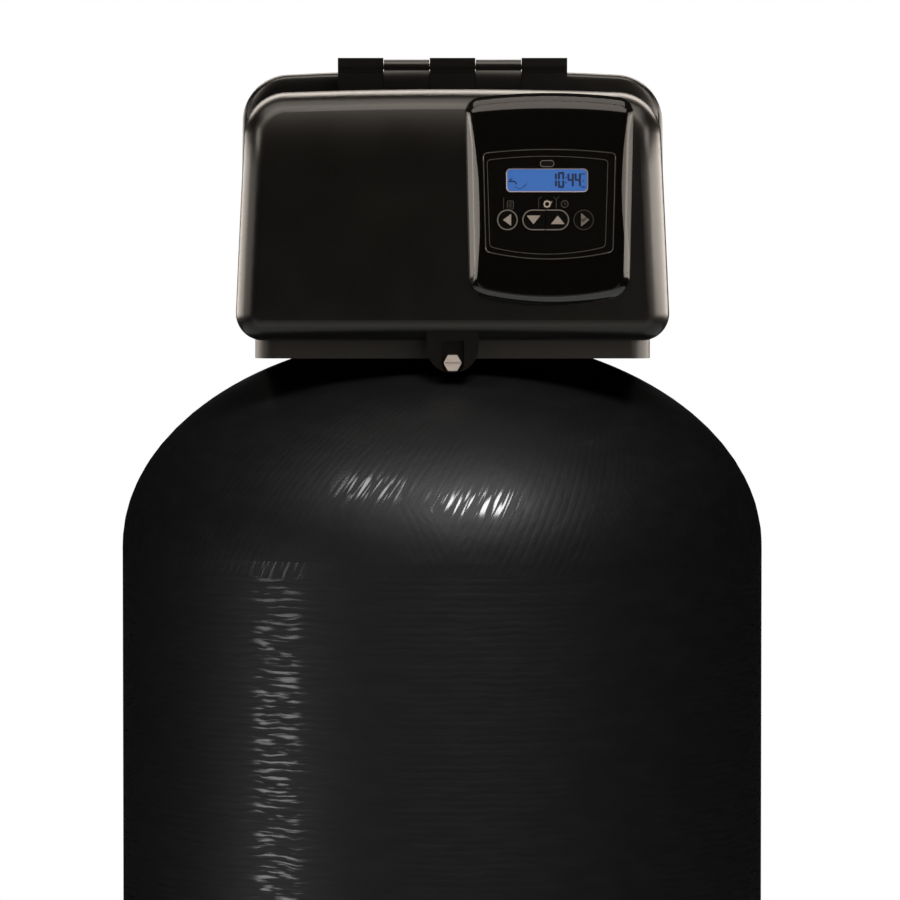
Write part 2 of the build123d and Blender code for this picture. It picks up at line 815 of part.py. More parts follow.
rear_top_corner = 30.0
rear_crown = 4.5
rear_taper = 2.0
rear_front_round = 2.6
rear_back_round = 12.0
rear_lip = 4.0
rear_screw_spread = 100.0
rear_screw_radius = 2.0
rear_screw_head_radius = 4.0
rear_screw_rise = 5.0
rear_slot_gap = 1.5
gland_x = 88.0
gland_radius = 8.0
gland_rise = 60.0

rear_screw_z = lid_bottom + rear_back_round + rear_screw_rise
gland_z = flange_top + gland_rise


def rear_form(inset, near, far):
    """The rear cover's form, drawn in by a wall: a crowned top and wide round corners."""
    half_low = rear_width / 2 - inset
    outline = bowed_front(head_offset, (half_low, half_low - rear_taper), (lid_bottom + inset, rear_top - inset),
                          (0.0, rear_crown), (cover_low_corner - inset, rear_top_corner - inset))
    form = prism_front(outline, near, far)
    return fillet(form.faces().sort_by(Axis.Y)[-1].edges(), rear_back_round - inset)


def cover_mouth(near, far, corner):
    """The opening under the covers, wide enough for the tray."""
    width = tray_width + 2 * mouth_margin
    outline = RectangleRounded(width, far - near, corner)
    height = cover_low_corner + cut_overrun
    return at(head_offset, (near + far) / 2, lid_bottom - cut_overrun) * extrude(outline, height)


def make_rear_cover():
    outer = rear_form(0.0, seam_y, rear_back)
    outer = fillet(outer.faces().sort_by(Axis.Y)[0].edges(), rear_front_round)
    cover = outer - rear_form(cover_wall, seam_y + cover_wall, rear_back - cover_wall)
    inset = 2 * cover_wall
    half_low = lid_width / 2 - inset
    mouth = bowed_front(head_offset, (half_low, half_low - lid_taper), (lid_bottom + inset, lid_top - rear_lip),
                        (0.0, lid_crown), (cover_low_corner - inset, lid_top_corner - inset))
    cover -= prism_front(mouth, seam_y - cut_overrun, seam_y + 2 * cover_wall)
    mouth_corner = tray_corner - cover_wall
    cover -= cover_mouth(seam_y - 2 * mouth_corner, rear_back - cover_wall, mouth_corner)
    back = (rear_back - 2 * cover_wall, rear_back + cut_overrun)
    for side in (-1, 1):
        x = side * port_spread
        reach = port_radius + rear_slot_gap
        cover -= along_y(reach, *back, x, port_z)
        cover -= block((x - reach, x + reach), back, (lid_bottom - cut_overrun, port_z))
        cover -= along_y(rear_screw_radius + running_gap, *back, head_offset + side * rear_screw_spread,
                         rear_screw_z)
    cover -= along_y(drain_port_radius + drain_flange + rear_slot_gap, *back, drain_x, drain_z)
    cover -= along_y(gland_radius + running_gap, *back, gland_x, gland_z)
    return cover + rear_knuckles()


def make_rear_cover_screws():
    screws = []
    for side in (-1, 1):
        x = head_offset + side * rear_screw_spread
        shank = along_y(rear_screw_radius, tray_back - cover_wall, rear_back, x, rear_screw_z)
        head = along_y(rear_screw_head_radius, rear_back, rear_back + screw_head, x, rear_screw_z)
        screws.append(shank + head)
    return group(screws)


gland_collar_share = 1.4
gland_length = 2 * gland_radius + cover_wall


def make_cable_gland():
    front = rear_back - cover_wall - gland_radius
    back = front + gland_length
    gland = along_y(gland_radius * gland_collar_share, rear_back, back, gland_x, gland_z)
    gland += along_y(gland_radius, front, rear_back, gland_x, gland_z)
    return gland - along_y(gland_radius / 2, front - cut_overrun, back + cut_overrun, gland_x, gland_z)


# Hinge on top: three flat topped knuckles on the lid, two round ones on the rear cover, one steel pin

hinge_pin_radius = 2.0
knuckle_radius = 5.3
round_knuckle_radius = 4.4
knuckle_gap = 0.35
hinge_seam_gap = 0.7
hinge_rise = 2.3
hinge_y = seam_y - knuckle_radius - hinge_seam_gap
hinge_z = rear_top + hinge_rise
lug_half_thickness = 3.5
rear_lug_drop = 14.0
knuckle_shares = (-1.0, -0.60, -0.20, 0.20, 0.60, 1.0)
hinge_half_width = 73.0


def knuckle_span(step):
    """The X range of one knuckle in the row, counted from the left."""
    low = head_offset + hinge_half_width * knuckle_shares[step]
    high = head_offset + hinge_half_width * knuckle_shares[step + 1]
    return low + knuckle_gap / 2, high - knuckle_gap / 2


def rear_knuckles():
    knuckles = []
    for step in (1, 3):
        low, high = knuckle_span(step)
        piece = along_x(round_knuckle_radius, low, high, hinge_y, hinge_z)
        piece += block((low, high), (hinge_y - lug_half_thickness, seam_y + cover_wall),
                       (hinge_z - rear_lug_drop, hinge_z - round_knuckle_radius / 2))
        piece -= along_x(hinge_pin_radius + running_gap, low - cut_overrun, high + cut_overrun, hinge_y, hinge_z)
        knuckles.append(piece)
    return knuckles[0] + knuckles[1]


def lid_knuckle(step):
    """One flat topped knuckle with the lug that joins it to the lid's top."""
    low, high = knuckle_span(step)
    piece = along_x(knuckle_radius, low, high, hinge_y, hinge_z)
    piece += block((low, high), (hinge_y - knuckle_radius, hinge_y), (hinge_z, hinge_z + knuckle_radius))
    piece += block((low, high), (hinge_y - lug_half_thickness, hinge_y + lug_half_thickness),
                   (lid_top - cover_wall, hinge_z))
    return piece - along_x(hinge_pin_radius + running_gap, low - cut_overrun, high + cut_overrun, hinge_y, hinge_z)


def make_hinge_pin():
    low = knuckle_span(0)[0]
    high = knuckle_span(4)[1]
    return along_x(hinge_pin_radius, low, high, hinge_y, hinge_z)


# Front cover, the hinged lid that carries the display

cover_low_corner = 17.0
lid_top_corner = 27.0
lid_crown = 3.0
lid_edge_round = 14.0
lid_face_share = 0.45
lid_face_lean = 6.0
lid_foot_lean = 2.5
mouth_margin = 2.0
tab_radius = 16.2
tab_thickness = 9.7
tab_channel = 14.2
tab_gap = 1.3
tab_drop = 20.0
tab_root = 6.0
screw_drop = 13.7
screw_shank_radius = 2.5
screw_slot_rise = 3.5
screw_across_flats = 9.8
screw_head_height = 4.0
screw_tip = 5.0
hub_thickness_share = 0.45
clip_share = 1.6

screw_z = lid_bottom - screw_drop
tab_back = tray_front - tab_gap
tab_front = tab_back - tab_thickness
tab_z = lid_bottom - tab_drop + tab_radius


def face_arc(shift):
    """The lid's crowned face in the side view, (Y, Z), moved back by a distance."""
    front = lid_front + shift
    crown = (front, lid_bottom + lid_height * lid_face_share)
    return ThreePointArc((front + lid_foot_lean, lid_bottom - cut_overrun), crown,
                         (front + lid_face_lean, lid_top + cut_overrun))


def lid_form(inset):
    """The lid's form, drawn in by a wall: a crowned face whose whole edge is softly rounded."""
    half_low = lid_width / 2 - inset
    outline = bowed_front(head_offset, (half_low, half_low - lid_taper), (lid_bottom + inset, lid_top - inset),
                          (0.0, lid_crown), (cover_low_corner - inset, lid_top_corner - inset))
    back = lid_back + (cut_overrun if inset > 0 else 0)
    face = face_arc(inset)
    side = make_face([face, Line(face @ 1, (back, lid_top + cut_overrun)),
                      Line((back, lid_top + cut_overrun), (back, lid_bottom - cut_overrun)),
                      Line((back, lid_bottom - cut_overrun), face @ 0)])
    slab = at(head_offset, 0, 0) * extrude(Plane.YZ * side, lid_width, both=True)
    form = slab & prism_front(outline, lid_front - cut_overrun, lid_back + 2 * cut_overrun)
    return fillet(form.faces().sort_by(Axis.Y)[0].edges(), lid_edge_round - inset)


def make_front_cover():
    cover = lid_form(0.0) - lid_form(cover_wall)
    mouth_front = tray_front - mouth_margin
    cover -= cover_mouth(mouth_front, 2 * lid_back - mouth_front, tray_corner)
    cover += lid_tab()
    for step in (0, 2, 4):
        cover += lid_knuckle(step)
    opening = rounded_front(board_width + 2 * board_gap, board_height + 2 * board_gap, board_corner,
                            panel_x, window_z)
    cover -= prism_front(opening, lid_front - cover_wall, lid_front + 4 * cover_wall)
    cover += board_posts()
    cover -= along_y(screw_shank_radius + running_gap, tab_front - cut_overrun, tab_back + cut_overrun,
                     head_offset, screw_z)
    return cover


def tab_outline(radius, top):
    """A tab with a round end, hanging from a height."""
    straight = Pos(head_offset, (tab_z + top) / 2) * Rectangle(2 * radius, top - tab_z)
    return straight + Pos(head_offset, tab_z) * Circle(radius)


def lid_tab():
    """The tab under the lid's front, with an upright channel for the screw's head."""
    tab = prism_front(tab_outline(tab_radius, lid_bottom + tab_root), tab_front, tab_back)
    floor_y = tab_front + tab_thickness * hub_thickness_share
    channel = Pos(head_offset, screw_z) * Circle(tab_channel / 2)
    channel += Pos(head_offset, (screw_z + lid_bottom) / 2) * Rectangle(tab_channel, lid_bottom - screw_z)
    return tab - prism_front(channel, tab_front - cut_overrun, floor_y)


def make_cover_screw():
    floor_y = tab_front + tab_thickness * hub_thickness_share
    head = prism_front(hex_front(screw_across_flats, head_offset, screw_z), floor_y - screw_head_height, floor_y)
    shank = along_y(screw_shank_radius, floor_y, tray_front + screw_tip, head_offset, screw_z)
    slot_width = screw_head_height / 5
    slot = block((head_offset - screw_across_flats, head_offset + screw_across_flats),
                 (floor_y - screw_head_height - cut_overrun, floor_y - screw_head_height / 2),
                 (screw_z - slot_width / 2, screw_z + slot_width / 2))
    return head + shank - slot


def make_screw_clip():
    near = tab_back + running_gap
    return ring_along_y(screw_shank_radius * clip_share, screw_shank_radius + running_gap, near,
                        near + tab_gap - close_gap, head_offset, screw_z)


# Display: a glossy pillow shaped panel with a window, a screen, a light and four keys

panel_half_low = 49.6
panel_half_high = 52.4
panel_height = 131.0
panel_low_rise = 7.0
panel_high_rise = 4.0
panel_low_corner = 14.0
panel_high_corner = 10.0
panel_side_margin = 16.2
panel_top_gap = 3.0
panel_proud = 4.0
panel_edge_round = 9.0
panel_gap = 0.1
window_half_low = 40.0
window_half_high = 41.6
window_height = 68.8
window_low_rise = 5.0
window_high_rise = 2.4
window_corner = 5.8
window_drop = 68.4
window_sink = 0.5
window_thickness = 3.0
screen_width = 50.4
screen_height = 14.3
screen_corner = 2.6
screen_drop = 53.6
screen_sink = 0.4
screen_shift = -1.4
screen_rim = 1.0
light_width = 8.4
light_height = 3.7
light_drop = 43.3
key_radius = 6.8
key_drop = 78.1
key_left_shift = -24.6
key_right_shift = 22.6
pair_width = 29.8
pair_shift = -0.9
pair_split = 0.5
key_travel = 0.8
key_proud = 0.5
key_collar = 0.6
key_collar_thickness = 1.2
switch_height = 4.0
switch_body_share = 0.7
switch_size = 6.0
switch_plunger_radius = 1.7
board_width = 92.0
board_height = 84.0
board_gap = 1.5
board_corner = 4.0
board_thickness = 1.6
board_depth = 15.0
board_cover_depth = 6.0
board_cover_wall = 2.0
post_size = 6.0
board_screw_radius = 1.4

panel_x = head_offset + lid_width / 2 - lid_taper - panel_side_margin - panel_half_high
panel_top = lid_top - panel_top_gap
window_z = panel_top - window_drop
screen_x = panel_x + screen_shift
screen_z = panel_top - screen_drop
light_z = panel_top - light_drop
key_z = panel_top - key_drop
key_left_x = screen_x + key_left_shift
key_right_x = screen_x + key_right_shift
pair_x = screen_x + pair_shift
board_back = lid_front + board_depth + board_thickness


def face_slab(proud, thickness):
    """A slab that follows the lid's crowned face, standing proud of it by some amount."""
    front = face_arc(-proud)
    back = face_arc(thickness - proud)
    outline = make_face([front, Line(front @ 1, back @ 1), back, Line(back @ 0, front @ 0)])
    return at(panel_x, 0, 0) * extrude(Plane.YZ * outline, 2 * panel_half_high, both=True)


def face_piece(outline, proud, thickness):
    """A piece cut from a slab along the lid's face by a front view outline."""
    return face_slab(proud, thickness) & prism_front(outline, lid_front - 4 * panel_proud, lid_back)


def half_capsule(side, gap):
    """The left or right half of the pair of keys, drawn in by a gap."""
    radius = key_radius - gap
    straight = pair_width / 2 - key_radius
    shape = Pos(pair_x + side * straight, key_z) * Circle(radius)
    shape += Pos(pair_x + side * straight / 2, key_z) * Rectangle(straight, 2 * radius)
    trim = Pos(pair_x - side * pair_width / 2 + side * (pair_split / 2), key_z) * Rectangle(pair_width, pair_width)
    return shape - trim


def window_outline(margin):
    """The window's outline, widened by a margin."""
    middle = window_z
    half = window_height / 2 + margin
    return bowed_front(panel_x, (window_half_low + margin, window_half_high + margin),
                       (middle - half, middle + half), (window_low_rise, window_high_rise),
                       (window_corner + margin, window_corner + margin))


def window_holes():
    """The openings of the window in front view: the screen, the light and the keys."""
    holes = rounded_front(screen_width, screen_height, screen_corner, screen_x, screen_z)
    holes += Pos(screen_x, light_z) * SlotOverall(light_width, light_height)
    holes += Pos(key_left_x, key_z) * Circle(key_radius)
    holes += Pos(key_right_x, key_z) * Circle(key_radius)
    holes += Pos(pair_x, key_z) * SlotOverall(pair_width, 2 * key_radius)
    return holes


def make_display_panel():
    # The round edge is deeper than the panel is thick, so it meets the lid's face at a slope
    thickness = panel_proud - panel_gap
    slope = panel_edge_round - math.sqrt(panel_edge_round ** 2 - (panel_edge_round - thickness) ** 2)
    outline = bowed_front(panel_x, (panel_half_low + slope, panel_half_high + slope),
                          (panel_top - panel_height - slope, panel_top + slope),
                          (panel_low_rise, panel_high_rise),
                          (panel_low_corner + slope, panel_high_corner + slope))
    panel = face_piece(outline, panel_proud, 2 * panel_edge_round)
    panel = fillet(panel.faces().sort_by(Axis.Y)[0].edges(), panel_edge_round)
    panel &= face_slab(panel_proud, thickness)
    return panel - prism_front(window_outline(close_gap), lid_front - 4 * panel_proud, lid_back)


def make_display_window():
    return face_piece(window_outline(0.0) - window_holes(), panel_proud - window_sink, window_thickness)


def make_lcd_module():
    glass = face_piece(rounded_front(screen_width - 2 * close_gap, screen_height - 2 * close_gap,
                                     screen_corner - close_gap, screen_x, screen_z),
                       panel_proud - window_sink - screen_sink, window_thickness)
    half_width = screen_width / 2
    half_height = screen_height / 2
    frame_near = lid_front + lid_face_lean
    frame = block((screen_x - half_width, screen_x + half_width), (frame_near, board_back - board_thickness),
                  (screen_z - half_height, screen_z + half_height))
    neck = block((screen_x - half_width + screen_rim, screen_x + half_width - screen_rim),
                 (lid_front, frame_near),
                 (screen_z - half_height + screen_rim, screen_z + half_height - screen_rim))
    return glass + neck + frame


def make_led_light_pipe():
    outline = Pos(screen_x, light_z) * SlotOverall(light_width - 2 * close_gap, light_height - 2 * close_gap)
    pipe = prism_front(outline, lid_front - 4 * panel_proud, board_back - board_thickness)
    front = face_slab(panel_proud - window_sink, board_depth)
    rest = block((screen_x - light_width, screen_x + light_width), (lid_front + lid_face_lean, board_back),
                 (light_z - light_width, light_z + light_width))
    return pipe & (front + rest)


def key_solid(outline, collar_outline, x):
    """One key: a cap through the window, a collar behind it and a stem towards its switch."""
    cap = face_piece(outline, panel_proud - window_sink + key_proud, window_thickness + 2 * key_proud)
    window_back = lid_front - panel_proud + window_sink + window_thickness
    collar = face_piece(collar_outline, -(window_back - lid_front) - close_gap, key_collar_thickness)
    stem_end = board_back - board_thickness - switch_height - key_travel - close_gap
    stem = along_y(key_radius / 3, window_back, stem_end, x, key_z)
    return cap + collar + stem


def make_keys():
    keys = {}
    for name, x in (("key_left", key_left_x), ("key_right", key_right_x)):
        cap = Pos(x, key_z) * Circle(key_radius - close_gap)
        collar = Pos(x, key_z) * Circle(key_radius + key_collar)
        keys[name] = key_solid(cap, collar, x)
    for name, side in (("key_down", -1), ("key_up", 1)):
        keys[name] = key_solid(half_capsule(side, close_gap), half_capsule(side, -key_collar),
                               pair_x + side * (pair_width / 2 - key_radius))
    return keys


def make_control_board():
    low_x = panel_x - board_width / 2
    low_z = window_z - board_height / 2
    board = block((low_x, low_x + board_width), (board_back - board_thickness, board_back),
                  (low_z, low_z + board_height))
    for x, z in board_corners():
        board -= along_y(board_screw_radius + running_gap, board_back - board_thickness - cut_overrun,
                         board_back + cut_overrun, x, z)
    return board


def board_corners():
    """The four places where the board is screwed to the lid's posts."""
    x = board_width / 2 - post_size / 2
    z = board_height / 2 - post_size / 2
    return [(panel_x + side * x, window_z + level * z) for side in (-1, 1) for level in (-1, 1)]


def board_posts():
    """Four posts behind the lid's face, joined to it outside the board's opening."""
    posts = None
    for x, z in board_corners():
        side = 1 if x > panel_x else -1
        reach = board_width / 2 + board_gap + cover_wall
        arm = block(sorted((x - side * post_size / 2, panel_x + side * reach)),
                    (lid_front + lid_face_lean + cover_wall, board_back - board_thickness),
                    (z - post_size / 2, z + post_size / 2))
        wall_piece = block(sorted((panel_x + side * (reach - cover_wall + close_gap), panel_x + side * reach)),
                           (lid_front, board_back - board_thickness),
                           (z - post_size / 2, z + post_size / 2))
        post = arm + wall_piece
        post -= along_y(board_screw_radius, lid_front + lid_face_lean + cover_wall + cut_overrun,
                        board_back, x, z)
        posts = post if posts is None else posts + post
    return posts & lid_form(cover_wall / 2)


def make_key_switches():
    switches = []
    face = board_back - board_thickness
    for x in (key_left_x, pair_x - pair_width / 2 + key_radius, pair_x + pair_width / 2 - key_radius, key_right_x):
        half = switch_size / 2
        body = block((x - half, x + half), (face - switch_height * switch_body_share, face), (key_z - half, key_z + half))
        body += along_y(switch_plunger_radius, face - switch_height, face, x, key_z)
        switches.append(body)
    return group(switches)


def make_board_cover():
    low_x = panel_x - board_width / 2
    low_z = window_z - board_height / 2
    outer = block((low_x, low_x + board_width), (board_back, board_back + board_cover_depth),
                  (low_z, low_z + board_height))
    wall = board_cover_wall
    inner = block((low_x + wall, low_x + board_width - wall),
                  (board_back - cut_overrun, board_back + board_cover_depth - wall),
                  (low_z + wall, low_z + board_height - wall))
    cover = outer - inner
    for x, z in board_corners():
        cover += along_y(post_size / 2, board_back, board_back + board_cover_depth, x, z)
    for x, z in board_corners():
        cover -= along_y(board_screw_radius + running_gap, board_back - cut_overrun,
                         board_back + board_cover_depth + cut_overrun, x, z)
    return cover


def make_board_screws():
    screws = []
    for x, z in board_corners():
        start = board_back + board_cover_depth
        shank = along_y(board_screw_radius - close_gap, board_back - board_thickness - cover_wall, start, x, z)
        head = along_y(2 * board_screw_radius, start, start + board_screw_radius, x, z)
        screws.append(shank + head)
    return group(screws)


# Bypass valve behind the head, its rotors and handles, union nuts and tailpieces

union_gap = 3.4
port_seal_cord = 1.4
nut_clearance = 1.5
chamber_radius = 20.5
chamber_half_height = 26.0
chamber_floor = 6.0
rotor_radius = 15.5
rotor_stem_radius = 7.0
rotor_bore = 11.0
cross_radius = 12.0
cross_bore = 8.0
rotor_cap_height = 6.0
handle_socket_depth = 2.0
union_flange_radius = 21.0
union_flange = 4.0
nut_radius = 27.0
nut_wall_length = 9.0
nut_grips = 10
tail_radius = 16.7
tail_bore = 13.0
tail_length = 28.0
handle_length = 60.0
handle_width = 17.0
handle_thickness = 9.0
handle_boss_radius = 11.0
handle_barb_share = 1.35
handle_neck_share = 0.55
handle_tail_share = 0.92
nut_groove_share = 0.11

bypass_near = port_end + union_gap
union_reach = union_flange + nut_wall_length / 2
bypass_rotor_y = bypass_near + union_reach + nut_clearance + chamber_radius
bypass_far = bypass_rotor_y + chamber_radius + nut_clearance + nut_wall_length
tail_near = bypass_far + union_gap
tail_far = tail_near + union_flange + tail_length + nut_wall_length
chamber_top = port_z + chamber_half_height
rotor_top = chamber_top + rotor_cap_height + handle_socket_depth


def make_bypass_body():
    body = None
    for side in (-1, 1):
        x = side * port_spread
        arm = along_y(port_radius, bypass_near, bypass_far, x, port_z)
        arm += along_y(union_flange_radius, bypass_near, bypass_near + union_flange, x, port_z)
        arm += upright(chamber_radius, port_z - chamber_half_height, chamber_top, x, bypass_rotor_y)
        body = arm if body is None else body + arm
    body += along_x(cross_radius, -port_spread, port_spread, bypass_rotor_y, port_z)
    body -= along_x(cross_bore, -port_spread, port_spread, bypass_rotor_y, port_z)
    for side in (-1, 1):
        x = side * port_spread
        body -= along_y(tail_bore, bypass_near - cut_overrun, bypass_far + cut_overrun, x, port_z)
        body -= upright(rotor_radius + running_gap, port_z - chamber_half_height + chamber_floor,
                        chamber_top + cut_overrun, x, bypass_rotor_y)
    return body


def make_rotor(side):
    x = side * port_spread
    low = port_z - chamber_half_height + chamber_floor + close_gap
    rotor = upright(rotor_radius, low, chamber_top - close_gap, x, bypass_rotor_y)
    rotor += upright(rotor_stem_radius, chamber_top - rotor_cap_height, rotor_top, x, bypass_rotor_y)
    return rotor - along_y(rotor_bore, bypass_rotor_y - chamber_radius, bypass_rotor_y + chamber_radius, x, port_z)


def make_handle(side):
    x = side * port_spread
    low = rotor_top - handle_socket_depth + close_gap
    high = low + handle_thickness
    nose = handle_length / 2
    half = handle_width / 2
    barb = half * handle_barb_share
    neck = half * handle_neck_share
    tail = nose * handle_tail_share
    arrow = make_face(Polyline((0, nose), (barb, nose - barb), (neck, nose - barb), (neck, -tail),
                               (-neck, -tail), (-neck, nose - barb), (-barb, nose - barb), close=True))
    arrow += Circle(handle_boss_radius)
    body = at(x, bypass_rotor_y, low) * Rot(0, 0, 90 + side * 90) * extrude(arrow, high - low)
    socket = upright(rotor_stem_radius + close_gap, low - cut_overrun, rotor_top + close_gap, x, bypass_rotor_y)
    return body - socket


def make_rotor_caps():
    caps = []
    for side in (-1, 1):
        x = side * port_spread
        caps.append(ring_upright(chamber_radius, rotor_stem_radius + running_gap, chamber_top,
                                 chamber_top + rotor_cap_height, x, bypass_rotor_y))
    return group(caps)


def union_nut(x, joint_y):
    """A ribbed nut that pulls a flange against the end of a pipe."""
    near = joint_y - nut_wall_length
    flange_end = joint_y + union_gap + union_flange
    far = flange_end + nut_wall_length / 2
    nut = along_y(nut_radius, near, far, x, port_z)
    for step in range(nut_grips):
        turn = math.radians(step * 360 / nut_grips)
        notch_x = x + nut_radius * math.cos(turn)
        notch_z = port_z + nut_radius * math.sin(turn)
        nut -= along_y(nut_radius * nut_groove_share, near - cut_overrun, far - union_flange, notch_x, notch_z)
    nut -= along_y(port_radius + close_gap, near - cut_overrun, far + cut_overrun, x, port_z)
    return nut - along_y(union_flange_radius + close_gap, joint_y, flange_end + close_gap, x, port_z)


def make_union_nuts():
    joints = (port_end, bypass_far)
    return group([union_nut(side * port_spread, joint) for side in (-1, 1) for joint in joints])


def make_port_seals():
    radius = (port_radius + port_bore) / 2
    joints = (port_end, bypass_far)
    return group([seal_along_y(radius, port_seal_cord, side * port_spread, joint + union_gap / 2, port_z)
                  for side in (-1, 1) for joint in joints])


def make_tailpiece(side):
    x = side * port_spread
    flange = along_y(union_flange_radius, tail_near, tail_near + union_flange, x, port_z)
    collar = along_y(port_radius, tail_near, tail_near + union_flange + nut_wall_length, x, port_z)
    pipe = along_y(tail_radius, tail_near, tail_far, x, port_z)
    return flange + collar + pipe - along_y(tail_bore, tail_near - cut_overrun, tail_far + cut_overrun, x, port_z)


def make_drain_seal():
    plug_radius = drain_port_bore - close_gap
    groove_middle = drain_port_end + close_gap - drain_plug_depth / 2
    return seal_along_y(plug_radius - drain_seal_cord / 2 + drain_seal_cord / 3, drain_seal_cord / 3,
                        drain_x, groove_middle, drain_z)


def all_pieces():
    """Every piece by its name."""
    pieces = {
        "tank_shell": make_tank_shell(),
        "neck_insert": make_neck_insert(),
        "tank_base": make_tank_base(),
        "tank_seal": make_tank_seal(),
        "riser_tube": make_riser_tube(),
        "riser_seal": make_riser_seal(),
        "bottom_distributor": make_bottom_distributor(),
        "top_distributor": make_top_distributor(),
        "gravel_bed": make_gravel_bed(),
        "carbon_bed": make_carbon_bed(),
        "valve_body": make_valve_body(),
        "stack_spacers": make_stack_spacers(),
        "stack_seals": make_stack_seals(),
        "piston": make_piston(),
        "piston_rod": make_piston_rod(),
        "drive_cap": make_drive_cap(),
        "injector_cap": make_injector_cap(),
        "injector_screws": make_injector_screws(),
        "drain_fitting": make_drain_fitting(),
        "drain_seal": make_drain_seal(),
        "drive_gear": make_drive_gear(),
        "reduction_gear": make_reduction_gear(),
        "motor_pinion": make_motor_pinion(),
        "drive_bracket": make_drive_bracket(),
        "bracket_screws": make_bracket_screws(),
        "drive_motor": make_drive_motor(),
        "gear_axle": make_gear_axle(),
        "gear_clip": make_gear_clip(),
        "base_tray": make_base_tray(),
        "tray_screws": make_tray_screws(),
        "rear_cover": make_rear_cover(),
        "rear_cover_screws": make_rear_cover_screws(),
        "cable_gland": make_cable_gland(),
        "hinge_pin": make_hinge_pin(),
        "front_cover": make_front_cover(),
        "cover_screw": make_cover_screw(),
        "screw_clip": make_screw_clip(),
        "display_panel": make_display_panel(),
        "display_window": make_display_window(),
        "lcd_module": make_lcd_module(),
        "led_light_pipe": make_led_light_pipe(),
        "control_board": make_control_board(),
        "key_switches": make_key_switches(),
        "board_cover": make_board_cover(),
        "board_screws": make_board_screws(),
        "bypass_body": make_bypass_body(),
        "inlet_rotor": make_rotor(1),
        "outlet_rotor": make_rotor(-1),
        "inlet_handle": make_handle(1),
        "outlet_handle": make_handle(-1),
        "rotor_caps": make_rotor_caps(),
        "union_nuts": make_union_nuts(),
        "port_seals": make_port_seals(),
        "inlet_tailpiece": make_tailpiece(1),
        "outlet_tailpiece": make_tailpiece(-1),
    }
    pieces.update(make_keys())
    return pieces


def main():
    os.makedirs("parts", exist_ok=True)
    for name, shape in all_pieces().items():
        export_step(shape, "parts/" + name + ".step")
        print(name, round(shape.volume))


if __name__ == "__main__":
    main()
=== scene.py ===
# %% [markdown]
# A backwashing carbon water filter. The construction comes in as a finished frame of separate pieces,
# each already in its place, and this lesson gives them their finishes and adds the fine details.

# %% Load the frame
import math

import bmesh
import bpy
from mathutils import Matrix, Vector
from mathutils.bvhtree import BVHTree


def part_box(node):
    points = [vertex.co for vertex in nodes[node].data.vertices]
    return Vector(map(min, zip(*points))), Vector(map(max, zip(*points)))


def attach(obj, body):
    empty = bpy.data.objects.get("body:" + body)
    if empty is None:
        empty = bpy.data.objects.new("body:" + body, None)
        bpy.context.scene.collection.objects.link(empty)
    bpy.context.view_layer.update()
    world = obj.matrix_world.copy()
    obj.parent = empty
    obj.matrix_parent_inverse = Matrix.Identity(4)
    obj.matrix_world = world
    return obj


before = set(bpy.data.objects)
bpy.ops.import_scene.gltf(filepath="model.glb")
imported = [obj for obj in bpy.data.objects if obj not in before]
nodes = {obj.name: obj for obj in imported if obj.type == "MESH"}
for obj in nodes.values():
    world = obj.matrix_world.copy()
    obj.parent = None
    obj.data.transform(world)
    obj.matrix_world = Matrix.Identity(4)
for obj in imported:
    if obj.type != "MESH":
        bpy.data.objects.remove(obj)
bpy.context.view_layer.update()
MM = 0.001

# %% [markdown]
# The camera stands four metres in front of the tank and a little above the middle of the picture, because
# a product picture of something this tall is taken from far away through a long lens. The picture shows
# only the head and the shoulders of the tank, so the frame is about 58 cm wide.

# %% Camera
CAMERA_DISTANCE = 4.0
CAMERA_RISE_DEGREES = 2.5
FRAME_WIDTH = 0.579
SENSOR = 36.0
TARGET = Vector((0.005, 0.0, 1.569))

rise = math.radians(CAMERA_RISE_DEGREES)
lens = bpy.data.cameras.new("camera")
lens.sensor_width = SENSOR
lens.lens = SENSOR * CAMERA_DISTANCE / FRAME_WIDTH
lens.clip_end = 50.0
camera = bpy.data.objects.new("camera", lens)
camera.location = TARGET + Vector((0, -math.cos(rise), math.sin(rise))) * CAMERA_DISTANCE
camera.rotation_euler = (math.pi / 2 - rise, 0, 0)
bpy.context.scene.collection.objects.link(camera)
bpy.context.scene.camera = camera
print("lens", round(lens.lens), "mm")

# %% [markdown]
# Black plastic shows only what it reflects, so each light is there for one reflection. A box high in front
# draws the glint on the tank's shoulder, and a tall strip at the left draws the dashes on the wound wall.
# The head has its own lights: one above for the top edges and a card at each side for the rims. A
# photographer keeps such lights off the tank with black flags, and here each light lists what it may reach.

